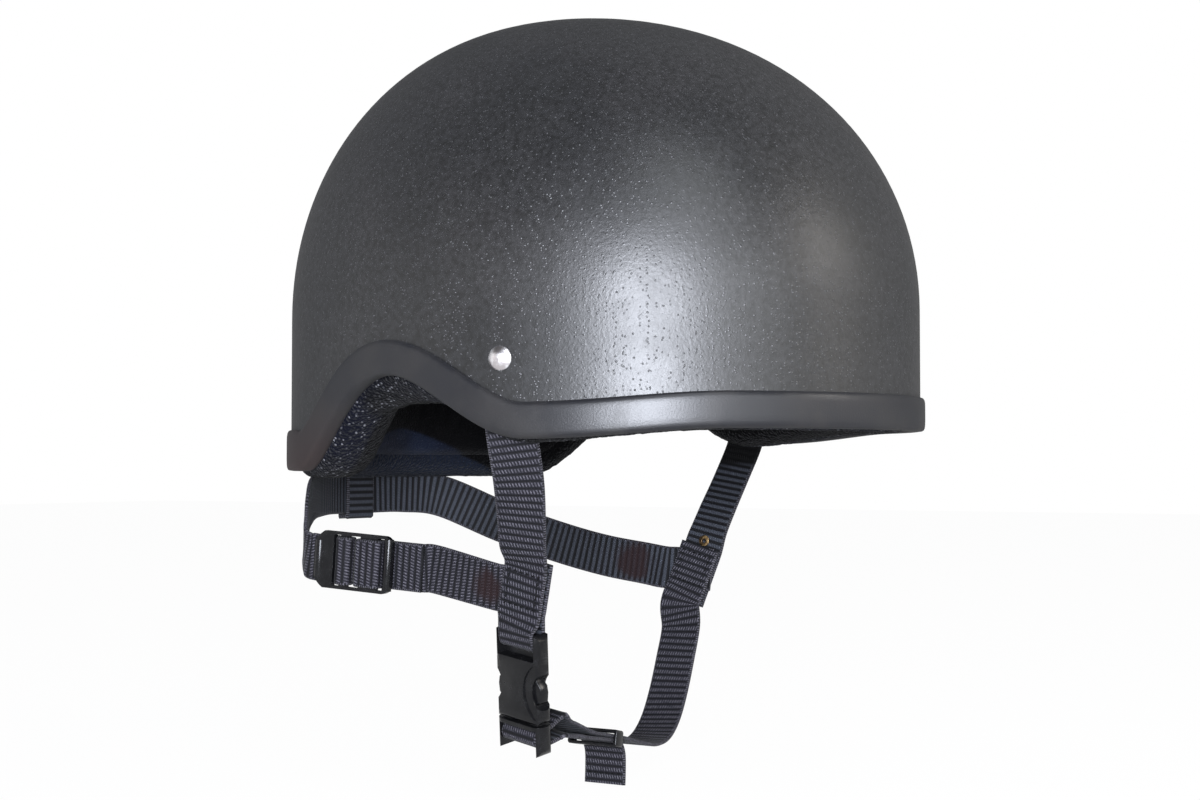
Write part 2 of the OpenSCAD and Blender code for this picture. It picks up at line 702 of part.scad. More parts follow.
// Socket of the buckle: waisted body with a tunnel, finger notches and a webbing bar
notch_r = 9;
notch_y = buckle_w / 2 + 5;
notch_z = 14;
module buckle_body(length, from, corner) {
    intersection() {
        translate([0, 0, from]) linear_extrude(length)
            oblong(buckle_t, buckle_w, buckle_t / 2 - 0.3);
        translate([0, 0, from + length / 2]) rotate([90, 0, 0])
            linear_extrude(buckle_w + 2, center = true) oblong(buckle_t, length, 3);
        translate([0, 0, from + length / 2]) rotate([90, 0, 90])
            linear_extrude(buckle_t + 2, center = true) oblong(buckle_w, length, corner);
    }
}

module socket_solid() {
    slot_w = web_w + 1;
    slot_z = socket_bar_z - bar_path - web_t / 2 - web_play - 0.1;
    pocket_h = 2.6;
    dish = 0.9;
    cheek_in = 11;
    intersection() {
        difference() {
            buckle_body(socket_len, 0, 4);
            translate([-tunnel_t / 2, -tunnel_w / 2, -1]) cube([tunnel_t, tunnel_w, 25]);
            for (s = [-1, 1]) translate([0, s * notch_y, notch_z]) rotate([0, 90, 0]) {
                cylinder(r = notch_r, h = buckle_t + 2, center = true, $fn = 64);
                // the face plates are dished round the notches
                for (f = [-1, 1]) translate([0, 0, f * (buckle_t / 2 + 1 - dish)])
                    cylinder(r = notch_r + 4.4, h = 2, center = true, $fn = 96);
            }
            // the cheeks draw in gently above the notches
            for (s = [-1, 1]) translate([0, s * (buckle_w / 2 + 19), 24]) rotate([0, 90, 0])
                cylinder(r = 20, h = buckle_t + 2, center = true, $fn = 128);
            translate([-buckle_t, -slot_w / 2, slot_z]) cube([2 * buckle_t, slot_w, socket_len]);
            // pocket under the webbing, open to the outside alone
            translate([-buckle_t, -slot_w / 2, slot_z - pocket_h])
                cube([buckle_t + 1.2, slot_w, pocket_h + 1]);
        }
        rotate([90, 0, 90]) linear_extrude(2 * buckle_t, center = true) {
            translate([0, socket_len - cheek_in]) circle(buckle_w / 2 + 2.2, $fn = 96);
            translate([-buckle_w, -1]) square([2 * buckle_w, socket_len - cheek_in + 1]);
        }
    }
    translate([0, 0, socket_bar_z]) rotate([90, 0, 0])
        cylinder(d = bar_d, h = slot_w + 1, center = true);
}

module buckle_socket() {
    color(nylon_color) translate(buckle_at) rotate(buckle_turn) socket_solid();
}

// Plug of the buckle: a frame with a webbing bar, a guide tongue and the arm cradles
arm_y = 7.6;
arm_z = 1.6;
arm_r = 1.5;
arm_half_t = tunnel_t / 2 - buckle_play - 0.2;
module plug_solid() {
    slot_w = web_w + 1;
    tongue_w = 4.8;
    beam_z = 2;
    difference() {
        buckle_body(plug_frame_len + 6, -plug_frame_len, 6);
        translate([-buckle_t, -buckle_w, -buckle_play]) cube([2 * buckle_t, 2 * buckle_w, 10]);
        translate([-buckle_t, -slot_w / 2, -plug_frame_len - 1])
            cube([2 * buckle_t, slot_w, plug_frame_len - beam_z + 1]);
    }
    translate([0, 0, plug_bar_z]) rotate([90, 0, 0])
        cylinder(d = bar_d, h = slot_w + 1, center = true);
    translate([-tunnel_t / 2 + buckle_play + 0.6, -tongue_w / 2, -1])
        cube([tunnel_t - 2 * buckle_play - 1.2, tongue_w, 20]);
    translate([0, 0, 19]) rotate([0, 90, 0])
        cylinder(d = tongue_w, h = tunnel_t - 2 * buckle_play - 1.2, center = true);
    for (s = [-1, 1]) difference() {
        translate([-arm_half_t, s * arm_y - 2.2, -1]) cube([2 * arm_half_t, 4.4, arm_z + 0.9]);
        translate([0, s * arm_y, arm_z]) rotate([0, 90, 0])
            cylinder(r = arm_r + 0.1, h = 3 * arm_half_t, center = true);
    }
}

module buckle_plug() {
    color(nylon_color) translate(buckle_at) rotate(buckle_turn) plug_solid();
}

// Sprung arm of the plug, on its +Y side, with the pad that shows in the notch
module latch_arm() {
    pad_y = buckle_w / 2 - 0.4;
    outline = [[arm_y - 1.2, arm_z], [arm_y + 1.3, arm_z], [arm_y + 1.6, 8.95], [10.6, 9],
        [pad_y - 0.4, 9.8], [pad_y, 13.5], [pad_y - 0.5, 16.4], [10.4, 17.8], [9.4, 20],
        [8.4, 21.4], [7.2, 21.2], [6.8, 14]];
    color(nylon_color) {
        translate([arm_half_t, 0, 0]) rotate([0, -90, 0]) linear_extrude(2 * arm_half_t)
            polygon([for (p = outline) [p[1], p[0]]]);
        translate([0, arm_y, arm_z]) rotate([0, 90, 0])
            cylinder(r = arm_r, h = 2 * arm_half_t, center = true);
    }
}

module latch_arm_rear() {
    translate(buckle_at) rotate(buckle_turn) latch_arm();
}

module latch_arm_front() {
    translate(buckle_at) rotate(buckle_turn) mirror([0, 1, 0]) latch_arm();
}

// Webbing round the plug's bar, with both ends leading inwards
loop_reach = 10;
module chin_loop() {
    turns = [for (a = [90:30:270]) around_bar(plug_bar_z, a)];
    points = concat([[loop_reach, 0, plug_bar_z + 5.4], [5, 0, plug_bar_z + 3.3]],
        turns,
        [[5, 0, plug_bar_z - 3.1], [loop_reach, 0, plug_bar_z - 2.6]]);
    color(web_color) webbing([for (p = points) [buckle(p), buckle_across]]);
}

// Chin strap: from the plug through the keeper, under the chin and up to the left junction
module chin_strap() {
    y = [0, 1, 0];
    half = layer_step / 2 + 0.05;
    color(web_color) webbing([
        for (x = [0.4, 2.2, 4])
            [buckle([loop_reach + x, 0, plug_bar_z + 5.3 + 0.3 * x]), buckle_across],
        [[-46, -6.8, -119.4], [0.15, 1, 0]],
        [keeper([-18, 0, half]), y],
        [keeper([-9, 0, half]), y],
        [keeper([0, 0, half]), y],
        [keeper([10, 0, half]), y],
        [[8, -8, -134.8], y],
        [[22, -8, -137.6], y],
        [[35, -7.2, -136.4], y],
        [[47, -5.8, -130], y],
        [[57, -4.6, -119], y],
        [[65, -4.2, -104], y],
        [[71, -4, -90], y],
        for (z = [-19, -10, 0, 10]) [left_junction([2 * sewn_step, 0, z]), left_across]]);
}

// Free end of the chin strap: back through the keeper, then hanging
module chin_strap_tail() {
    y = [0, 1, 0];
    half = layer_step / 2 + 0.05;
    color(web_color) webbing([
        for (x = [0.4, 2.2, 4])
            [buckle([loop_reach + x, 0, plug_bar_z - 2.6 + 0.1 * x]), buckle_across],
        [[-44, -6.8, -125.2], [0.1, 1, 0]],
        [keeper([-18, 0, -half - 0.5]), y],
        [keeper([-9, 0, -half]), y],
        [keeper([0, 0, -half]), y],
        [keeper([keeper_len / 2 + 1.5, 0, -half]), y],
        [[-9.2, -8, -134.2], y],
        [[-7.6, -8, -138], y],
        [[-7.4, -8, -144], y],
        [[-7.8, -8, -151], y]]);
}

// Keeper ring round both layers of the chin strap
module strap_keeper() {
    room_z = 2 * web_t + web_play + 1;
    color(nylon_color) translate(keeper_at) rotate(keeper_turn) rotate([90, 0, 90])
        linear_extrude(keeper_len, center = true) difference() {
            oblong(web_w + 1 + 2 * keeper_t, room_z + 2 * keeper_t, 1.2);
            square([web_w + 1, room_z], center = true);
        }
}

shell();
edge_trim();
impact_liner();
comfort_lining();
crown_pad();
brow_pad();
nape_pad();
temple_pad_right();
temple_pad_left();
rivet_right();
rivet_left();
rivet_rear();
washer_right();
washer_left();
washer_rear();
side_strap_right();
side_strap_left();
strap_eyelet();
nape_hanger();
nape_strap();
rear_strap_right();
adjuster_frame();
adjuster_wrap();
buckle_socket();
buckle_plug();
latch_arm_front();
latch_arm_rear();
chin_loop();
chin_strap();
chin_strap_tail();
strap_keeper();
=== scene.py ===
import math
import bpy
from mathutils import Euler, Matrix, Vector, noise


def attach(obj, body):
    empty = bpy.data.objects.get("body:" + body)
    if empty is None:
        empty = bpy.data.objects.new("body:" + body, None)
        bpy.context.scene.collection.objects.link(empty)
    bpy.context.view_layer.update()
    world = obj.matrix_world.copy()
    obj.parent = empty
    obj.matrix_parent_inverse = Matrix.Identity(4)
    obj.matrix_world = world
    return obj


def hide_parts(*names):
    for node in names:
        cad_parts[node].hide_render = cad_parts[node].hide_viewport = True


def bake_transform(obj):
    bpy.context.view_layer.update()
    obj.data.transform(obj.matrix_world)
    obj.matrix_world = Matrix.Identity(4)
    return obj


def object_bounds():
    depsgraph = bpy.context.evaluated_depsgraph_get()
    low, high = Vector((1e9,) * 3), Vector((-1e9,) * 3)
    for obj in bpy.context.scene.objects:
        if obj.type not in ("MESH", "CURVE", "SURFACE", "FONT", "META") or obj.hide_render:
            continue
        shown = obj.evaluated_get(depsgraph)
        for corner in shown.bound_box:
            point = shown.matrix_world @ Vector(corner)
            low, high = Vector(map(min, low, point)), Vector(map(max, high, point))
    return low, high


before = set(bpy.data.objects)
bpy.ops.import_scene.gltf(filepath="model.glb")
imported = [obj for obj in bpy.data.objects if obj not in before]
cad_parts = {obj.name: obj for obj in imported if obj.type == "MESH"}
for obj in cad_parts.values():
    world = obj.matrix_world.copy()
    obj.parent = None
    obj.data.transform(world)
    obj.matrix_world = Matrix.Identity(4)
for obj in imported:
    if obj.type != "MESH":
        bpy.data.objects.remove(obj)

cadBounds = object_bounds()
scene = bpy.context.scene
mm = 0.001

# the wearer faces -Y, the wearer's right is -X and +Z is up; lengths below are millimetres
helmet = {
    "length": 284, "width": 232,
    "wallHeight": 50.4, "domeHeight": 130.2, "crownBack": 14.3,
    "planPower": 2.036, "drawPower": 0.927, "risePower": 0.98,
    "shellThickness": 3.5,
    "edge": [(42, 0), (77, -4), (102.5, 21.5), (132, -16.5)],  # angle from the brow, height
    "padDepth": 27.8, "liningDepth": 27.5,
}


def sine(degrees):
    return math.sin(math.radians(degrees))


def cosine(degrees):
    return math.cos(math.radians(degrees))


def signedPower(value, power):
    return math.copysign(abs(value) ** power, value)


def ease(share):
    return (1 - cosine(180 * share)) / 2


def smooth(low, high, value):
    share = min(max((value - low) / (high - low), 0), 1)
    return share * share * (3 - 2 * share)


def planPoint(angle, depth):
    power = 2 / helmet["planPower"]
    return (-(helmet["width"] / 2 - depth) * signedPower(sine(angle), power),
            -(helmet["length"] / 2 - depth) * signedPower(cosine(angle), power))


def fromFront(angle):  # 0 at the brow, 180 at the nape
    return abs((angle + 540) % 360 - 180)


def edgeHeight(angle):  # level brow, cheek dip, ear arch, low nape
    around, marks = fromFront(angle), helmet["edge"]
    if around < marks[0][0]:
        return marks[0][1]
    for (start, low), (end, high) in zip(marks, marks[1:]):
        if around < end:
            return low + (high - low) * ease((around - start) / (end - start))
    return marks[-1][1]


def edgeStep(angle):
    a, b = planPoint(angle + 1, 0), planPoint(angle - 1, 0)
    return math.hypot(a[0] - b[0], a[1] - b[1]) / 2


def rimPoint(angle, height, depth):  # square to the rim line
    step = edgeStep(angle)
    slope = math.atan((edgeHeight(angle + 1) - edgeHeight(angle - 1)) / 2 / step)
    x, y = planPoint(angle - height * math.sin(slope) / step, depth)
    return Vector((x, y, edgeHeight(angle) + height * math.cos(slope)))


def domePoint(angle, rise, depth):
    draw = max(cosine(90 * rise), 0) ** helmet["drawPower"]
    x, y = planPoint(angle, depth)
    return Vector((x * draw, y * draw + helmet["crownBack"] * (1 - draw), helmet["wallHeight"]
                   + (helmet["domeHeight"] - depth) * sine(90 * rise) ** helmet["risePower"]))


# modelling helpers; the gaps are in metres

limits = {"weldGap": 0.00003, "copyGap": 0.000002, "flatAngle": 0.6}


def deselectAll():
    if bpy.context.mode != "OBJECT":
        bpy.ops.object.mode_set(mode="OBJECT")
    bpy.ops.object.select_all(action="DESELECT")


def pick(piece):
    deselectAll()
    piece.select_set(True)
    bpy.context.view_layer.objects.active = piece


def editAll(piece):
    pick(piece)
    bpy.ops.object.mode_set(mode="EDIT")
    bpy.ops.mesh.select_all(action="SELECT")


def weld(piece, outwards=True):
    editAll(piece)
    bpy.ops.mesh.remove_doubles(threshold=limits["weldGap"])
    if outwards:
        bpy.ops.mesh.normals_make_consistent(inside=False)
    bpy.ops.object.mode_set(mode="OBJECT")


def selectOpenEdges(piece):
    editAll(piece)
    bpy.ops.mesh.select_all(action="DESELECT")
    bpy.ops.mesh.select_mode(type="EDGE")
    bpy.ops.mesh.select_non_manifold(extend=False)


def closeEnds(piece):
    selectOpenEdges(piece)
    bpy.ops.mesh.fill_holes(sides=0)
    bpy.ops.mesh.select_all(action="SELECT")
    bpy.ops.mesh.normals_make_consistent(inside=False)
    bpy.ops.object.mode_set(mode="OBJECT")


def bridgeOpenEdges(piece):
    selectOpenEdges(piece)
    bpy.ops.mesh.bridge_edge_loops()
    weld(piece)


def addModifier(piece, kind, **settings):
    pick(piece)
    modifier = piece.modifiers.new(kind.title(), kind)
    for key, value in settings.items():
        setattr(modifier, key, value)
    bpy.ops.object.modifier_apply(modifier=modifier.name)


def joinPieces(name, pieces):
    deselectAll()
    for piece in pieces:
        piece.select_set(True)
    bpy.context.view_layer.objects.active = pieces[0]
    bpy.ops.object.join()
    pieces[0].name = name
    return pieces[0]


def layGrid(name, columns, rows, place, cloth=None):
    deselectAll()
    bpy.ops.mesh.primitive_grid_add(x_subdivisions=columns, y_subdivisions=rows, size=1)
    piece = bpy.context.active_object
    piece.name = name
    mesh = piece.data
    spots = [(vertex.co.x + 0.5, vertex.co.y + 0.5) for vertex in mesh.vertices]
    for vertex, (u, v) in zip(mesh.vertices, spots):
        vertex.co = place(u, v) * mm
    layer = mesh.uv_layers[0]
    for loop in mesh.loops:
        u, v = spots[loop.vertex_index]
        layer.uv[loop.index].vector = cloth(u, v) if cloth else (u, v)
    return piece


def finishPiece(piece, finish, body, nodes, slot, angle):
    pick(piece)
    bpy.ops.object.transform_apply(location=True, rotation=True, scale=True)
    bpy.ops.object.shade_smooth_by_angle(angle=math.radians(angle))
    piece.data.materials.clear()
    piece.data.materials.append(finishes[finish])
    if nodes:
        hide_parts(*nodes)
    if body:
        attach(piece, body)
    return piece


def cleanCopy(name, node):  # merged copy of a CAD node, with its flats made whole again
    piece = bpy.data.objects.new(name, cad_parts[node].data.copy())
    scene.collection.objects.link(piece)
    editAll(piece)
    bpy.ops.mesh.remove_doubles(threshold=limits["copyGap"])
    bpy.ops.mesh.dissolve_limited(angle_limit=math.radians(limits["flatAngle"]))
    bpy.ops.object.mode_set(mode="OBJECT")
    return piece


# materials: scales are per metre and depths in metres; patches of noise are written as scale,
# detail, roughness, and the two noise values that become 0 and 1

def startMaterial(name, **sockets):
    material = bpy.data.materials.new(name)
    material.use_nodes = True
    shader = material.node_tree.nodes["Principled BSDF"]
    for socket, value in sockets.items():
        shader.inputs[socket.replace("_", " ")].default_value = value
    return material, shader


def isSocket(value):
    return isinstance(value, bpy.types.NodeSocket)


def addNode(kind, inputs, tree=None, **settings):  # joins the tree of what it is fed from
    tree = tree or next(value for value in inputs.values() if isSocket(value)).id_data
    node = tree.nodes.new("ShaderNode" + kind)
    for key, value in settings.items():
        setattr(node, key, value)
    for socket, value in inputs.items():
        if isSocket(value):
            tree.links.new(value, node.inputs[socket])
        else:
            node.inputs[socket].default_value = value
    return node


def link(value, node, socket):
    value.id_data.links.new(value, node.inputs[socket])


def calc(operation, *values):
    return addNode("Math", dict(enumerate(values)), operation=operation).outputs[0]


def remap(value, low, high, to=(0, 1)):
    inputs = {"Value": value, "From Min": low, "From Max": high, "To Min": to[0], "To Max": to[1]}
    return addNode("MapRange", inputs, interpolation_type="SMOOTHSTEP").outputs["Result"]


def band(value, rising, falling):  # 1 between the two ramps
    return calc("MULTIPLY", remap(value, *rising), remap(value, *falling))


def shade(colour):
    return (*colour, 1)


def mixColour(share, a, b):  # the node's colours are its inputs 6 and 7
    a, b = (value if isSocket(value) else shade(value) for value in (a, b))
    return addNode("Mix", {0: share, 6: a, 7: b}, data_type="RGBA").outputs[2]


def objectPlace(shader):
    return addNode("TexCoord", {}, shader.id_data).outputs["Object"]


def splitPlace(place):
    return addNode("SeparateXYZ", {"Vector": place}).outputs


def noiseValue(place, scale, detail=2, roughness=0.5):
    inputs = {"Vector": place, "Scale": scale, "Detail": detail, "Roughness": roughness}
    return addNode("TexNoise", inputs).outputs["Fac"]


def patches(place, values, to=(0, 1)):
    scale, detail, roughness, low, high = values
    return remap(noiseValue(place, scale, detail, roughness), low, high, to)


def cellPattern(place, scale):  # distance to the cell's middle, and its random colour
    node = addNode("TexVoronoi", {"Vector": place, "Scale": scale})
    return node.outputs["Distance"], node.outputs["Color"]


def cellChance(tint, channel):
    return addNode("SeparateColor", {"Color": tint}).outputs[channel]


def addBump(shader, height, distance, under=None):
    inputs = {"Height": height, "Distance": distance, "Strength": 1.0}
    if under:
        inputs["Normal"] = under
    normal = addNode("Bump", inputs).outputs["Normal"]
    link(normal, shader, "Normal")
    return normal


sheenFade = (0.08, 0.75)


def edgeRoughness(roughness, atEdge):  # paint and rubber lose their sheen where they turn away
    facing = addNode("LayerWeight", {"Blend": 0.5}, roughness.id_data).outputs["Facing"]
    share = remap(facing, *sheenFade)
    kept = calc("MULTIPLY", roughness, calc("SUBTRACT", 1.0, share))
    return calc("ADD", kept, calc("MULTIPLY", share, atEdge))


paint = {
    "colour": (0.0044, 0.0045, 0.0050), "cloud": (0.0074, 0.0072, 0.0076),
    "cloudPatches": (14, 4, 0.5, 0.35, 0.65),
    "mottlePatches": (420, 3, 0.6, 0.3, 0.7), "mottle": (0.45, 1.6),
    "speck": (0.036, 0.036, 0.038), "speckScale": 760, "speckShare": 0.8,
    "speckEdge": (0.36, 0.05), "surestSpeck": 0.95, "speckHeight": 0.00012,
    "scuffPatches": (55, 5, 0.65, 0.3, 0.75), "roughness": (0.38, 0.44), "edgeRoughness": 0.85,
    "grain": (700, 3, 0.6), "grainHeight": 0.00010, "gloss": 0.47,
}


def makeShellPaint():
    material, shader = startMaterial("satin shell paint", Specular_IOR_Level=paint["gloss"])
    place = objectPlace(shader)
    near, tint = cellPattern(place, paint["speckScale"])
    chance = remap(cellChance(tint, 0), 1 - paint["speckShare"], paint["surestSpeck"])
    speck = calc("MULTIPLY", remap(near, *paint["speckEdge"]), chance)
    base = mixColour(patches(place, paint["cloudPatches"]), paint["colour"], paint["cloud"])
    mottle = patches(place, paint["mottlePatches"], paint["mottle"])
    base = addNode("VectorMath", {0: base, "Scale": mottle}, operation="SCALE").outputs[0]
    link(mixColour(speck, base, paint["speck"]), shader, "Base Color")
    scuff = patches(place, paint["scuffPatches"], paint["roughness"])
    link(edgeRoughness(scuff, paint["edgeRoughness"]), shader, "Roughness")
    grain = noiseValue(place, *paint["grain"])
    fine = addBump(shader, grain, paint["grainHeight"])
    addBump(shader, speck, paint["speckHeight"], under=fine)
    return material


rubber = {
    "colour": (0.0062, 0.0064, 0.0080), "worn": (0.0105, 0.0100, 0.0105),
    "wearPatches": (42, 5, 0.6, 0.4, 0.7), "brown": (0.0135, 0.0060, 0.0056),
    "brownDownwards": (0.022, -0.022), "brownBackwards": (0.010, 0.110),
    "roughness": (0.35, 0.42), "edgeRoughness": 0.85,
    "grain": (1500, 3), "grainDepth": 0.00004, "gloss": 0.34,
}


def makeTrimRubber():
    material, shader = startMaterial("satin trim rubber", Specular_IOR_Level=rubber["gloss"])
    place = objectPlace(shader)
    part = splitPlace(place)
    wear = patches(place, rubber["wearPatches"])
    base = mixColour(wear, rubber["colour"], rubber["worn"])
    low = remap(part["Z"], *rubber["brownDownwards"])
    back = remap(part["Y"], *rubber["brownBackwards"])
    browned = mixColour(calc("MULTIPLY", low, back), base, rubber["brown"])
    link(browned, shader, "Base Color")
    worn = remap(wear, 0, 1, rubber["roughness"])
    link(edgeRoughness(worn, rubber["edgeRoughness"]), shader, "Roughness")
    addBump(shader, noiseValue(place, *rubber["grain"]), rubber["grainDepth"])
    return material


mouldedNylon = {
    "name": "moulded black nylon", "metallic": 0.0, "gloss": 0.17,
    "tones": [(0.0036, 0.0036, 0.0040), (0.0062, 0.0062, 0.0066)],
    "tonePatches": (140, 4, 0.6, 0.4, 0.7), "roughness": (0.20, 0.29),
    "grain": (2600, 2), "grainDepth": 0.00002,
}
satinSilver = {
    "name": "satin silver", "metallic": 1.0, "gloss": 0.5,
    "tones": [(0.55, 0.52, 0.54), (0.80, 0.80, 0.82)],
    "tonePatches": (420, 4, 0.6, 0.35, 0.7), "roughness": (0.28, 0.42),
    "grain": (714, 3), "grainDepth": 0.00006,
}
dullBrass = {
    "name": "dull brass", "metallic": 1.0, "gloss": 0.5,
    "tones": [(0.10, 0.065, 0.035), (0.25, 0.17, 0.075)],
    "tonePatches": (600, 4, 0.6, 0.35, 0.7), "roughness": (0.35, 0.55),
    "grain": (1020, 3), "grainDepth": 0.00003,
}


def makeTwoTone(values):
    material, shader = startMaterial(values["name"], Metallic=values["metallic"],
                                     Specular_IOR_Level=values["gloss"])
    place = objectPlace(shader)
    patch = patches(place, values["tonePatches"])
    link(mixColour(patch, *values["tones"]), shader, "Base Color")
    link(remap(patch, 0, 1, values["roughness"]), shader, "Roughness")
    addBump(shader, noiseValue(place, *values["grain"]), values["grainDepth"])
    return material


loopPile = {
    "name": "loop pile", "tones": [(0.0017, 0.0017, 0.0022), (0.0022, 0.0026, 0.0055)],
    "loop": (0.120, 0.120, 0.130), "loopShare": 0.42, "loopScale": 700, "depth": 0.0011,
    "nape": "roll",
}
blackKnit = {
    "name": "black knit", "tones": [(0.004, 0.004, 0.005), (0.006, 0.0065, 0.009)],
    "loop": (0.018, 0.018, 0.023), "loopShare": 0.5, "loopScale": 1300, "depth": 0.0003,
    "nape": None,
}
navyKnit = {
    "name": "navy knit", "tones": [(0.004, 0.0055, 0.011), (0.006, 0.009, 0.019)],
    "loop": (0.020, 0.024, 0.042), "loopShare": 0.35, "loopScale": 1250, "depth": 0.00035,
    "nape": "pad",
}
clothYarn = {"bendScale": 240, "bendReach": 0.0016, "tonePatches": (26, 3, 0.5, 0.4, 0.62),
             "loopEdge": (0.5, 0.15), "roughness": 0.95, "gloss": 0.04}
# navy below the line is the cloth's own colour; black above it is painted shade in the helmet's
# hollow
napeNavyAndShade = {  # rollDepth alone is in millimetres
    "black": (0.0012, 0.0012, 0.0014), "navy": (0.0056, 0.0074, 0.0128),
    "top": 0.003, "bow": 0.012, "bowReach": 0.040, "bowPower": 1.5, "edge": 0.0009,
    "rollDepth": 18, "rollEdge": (1.04, 0.97),
}


def belowShadeLine(place):  # 1 below a line that drops to both sides; above it the colour is painted shade
    part = splitPlace(place)
    side = calc("DIVIDE", calc("ABSOLUTE", part["X"]), napeNavyAndShade["bowReach"])
    drop = calc("MULTIPLY", calc("POWER", side, napeNavyAndShade["bowPower"]), napeNavyAndShade["bow"])
    top, edge = napeNavyAndShade["top"], napeNavyAndShade["edge"]
    return remap(calc("ADD", part["Z"], drop), top + edge, top - edge)


def insideShare(place):  # 1 on the cloth behind the pile roll
    part, halves = splitPlace(place), []
    for axis, size in (("X", "width"), ("Y", "length")):
        reach = (helmet[size] / 2 - napeNavyAndShade["rollDepth"]) * mm
        side = calc("DIVIDE", calc("ABSOLUTE", part[axis]), reach)
        halves.append(calc("POWER", side, helmet["planPower"]))
    return remap(calc("ADD", *halves), *napeNavyAndShade["rollEdge"])


def makeCloth(values):
    material, shader = startMaterial(
        values["name"], Roughness=clothYarn["roughness"], Sheen_Weight=0.03, Sheen_Roughness=0.5,
        Specular_IOR_Level=clothYarn["gloss"])
    place = objectPlace(shader)
    bent = addNode("TexNoise", {"Vector": place, "Scale": clothYarn["bendScale"], "Detail": 2})
    push = addNode("VectorMath", {0: bent.outputs["Color"], 1: [clothYarn["bendReach"]] * 3},
                   operation="MULTIPLY")
    shifted = addNode("VectorMath", {0: place, 1: push.outputs[0]}, operation="ADD").outputs[0]
    near, tint = cellPattern(shifted, values["loopScale"])
    base = mixColour(patches(place, clothYarn["tonePatches"]), *values["tones"])
    loop = calc("MULTIPLY", remap(near, *clothYarn["loopEdge"]),
                remap(cellChance(tint, 1), 1 - values["loopShare"], 1))
    face = mixColour(loop, base, values["loop"])
    # above the line, the nape pad and the lining behind the roll are painted shade
    if values["nape"] == "pad":
        face = mixColour(belowShadeLine(place), napeNavyAndShade["black"], face)
    if values["nape"] == "roll":
        lined = mixColour(belowShadeLine(place), napeNavyAndShade["black"], napeNavyAndShade["navy"])
        face = mixColour(insideShare(place), face, lined)
    link(face, shader, "Base Color")
    addBump(shader, calc("SUBTRACT", 1, near), values["depth"])
    return material


beads = {"colour": (0.025, 0.025, 0.027), "gap": (0.008, 0.008, 0.009), "scale": 330,
         "gapEdge": (0.35, 0.6), "depth": 0.0006}


def makeFoam():
    material, shader = startMaterial("pressed foam beads", Roughness=0.8)
    near = cellPattern(objectPlace(shader), beads["scale"])[0]
    edge = remap(near, *beads["gapEdge"])
    link(mixColour(edge, beads["colour"], beads["gap"]), shader, "Base Color")
    addBump(shader, calc("SUBTRACT", 1, near), beads["depth"])
    return material


webbing = {  # the first two rows are millimetres
    "width": 20, "thickness": 1.6, "ribPitch": 3.05, "ribDepth": 0.24,
    "ribFade": (0.5, 2), "stitchWidth": 1.25,
    "ribPower": 0.6, "innerShift": 0.1, "rowLean": 0.37, "stitchLean": 0.75,
    "stitchEdge": (0.34, 0.08), "dark": (0.0028, 0.0028, 0.0036), "yarn": (0.0068, 0.0066, 0.0095),
    "dash": (0.066, 0.063, 0.074), "bar": (0.029, 0.032, 0.040),
    "stitchWindow": [(0.12, 0.34), (0.86, 0.6)], "beadWindow": [(0.15, 0.5), (0.95, 0.6)],
    "yarnRise": (0.1, 0.75), "barRise": (0.45, 0.95), "barFibre": (0.3, 0.6, (0.6, 1)),
    "unevenPatches": (900, 2, 0.5, 0.3, 0.6), "unevenLight": (0.35, 1), "fibreScale": 2600,
    "depth": 0.00022, "dotRelief": 0.7, "fibreRelief": 0.3,
    "selvage": (0.0088, 0.0094), "beadPitch": 0.00102, "gloss": 0.12,
    # painted shade on the far strap where it hangs under the rim
    "rimShade": (0.0016, 0.0016, 0.0018), "rimShadeDownwards": (-0.0165, -0.0120),
    "rimShadeOutwards": (0.06, 0.08),
    # painted brown shade beside the junctions, where the crossing straps shade the webbing
    "junctionShade": (0.0085, 0.0034, 0.0038), "junctionShadeDepth": 0.85, "junctionShadeScale": 130,
    "junctionShadeRagged": 0.008,
    "junctionShadeSpots": [(-76.8, 7, -62.6, 9), (80, 26, -61, 11)],  # place and reach, in millimetres
}


def outerDots(row, across, uneven):  # light dashes that lean along each rib
    part = calc("FRACT", row)
    lean = calc("ADD", calc("MULTIPLY", calc("FLOOR", row), webbing["rowLean"]),
                calc("MULTIPLY", part, webbing["stitchLean"]))
    twist = calc("FRACT", calc("ADD", lean, calc("DIVIDE", across, webbing["stitchWidth"] * mm)))
    dash = remap(calc("ABSOLUTE", calc("SUBTRACT", twist, 0.5)), *webbing["stitchEdge"])
    window = band(part, *webbing["stitchWindow"])
    return calc("MULTIPLY", calc("MULTIPLY", dash, window), uneven)


def innerBars(rib, fibre):
    grain = calc("MULTIPLY", remap(rib, *webbing["barRise"]), remap(fibre, *webbing["barFibre"]))
    return mixColour(grain, webbing["dark"], webbing["bar"])


def beadedEdge(along, uneven):
    part = calc("FRACT", calc("DIVIDE", along, webbing["beadPitch"]))
    bead = calc("MULTIPLY", band(part, *webbing["beadWindow"]), uneven)
    return mixColour(bead, webbing["dark"], webbing["dash"])


def paintedJunctionShade(place, woven):  # painted shade: brown-dark patches beside the junctions
    for x, y, z, reach in webbing["junctionShadeSpots"]:
        away = addNode("VectorMath", {0: place, 1: (x * mm, y * mm, z * mm)},
                       operation="DISTANCE").outputs["Value"]
        torn = calc("MULTIPLY", noiseValue(place, webbing["junctionShadeScale"], 3), webbing["junctionShadeRagged"])
        mark = remap(calc("ADD", away, torn), (reach + 4) * mm, (reach - 1) * mm,
                     (0, webbing["junctionShadeDepth"]))
        woven = mixColour(mark, woven, webbing["junctionShade"])
    return woven


def paintedRimShade(place, woven):  # painted shade: darker where the far side hangs under the helmet's rim
    part = splitPlace(place)
    share = calc("MULTIPLY", remap(part["Z"], *webbing["rimShadeDownwards"]),
                 remap(part["X"], *webbing["rimShadeOutwards"]))
    return mixColour(share, woven, webbing["rimShade"])


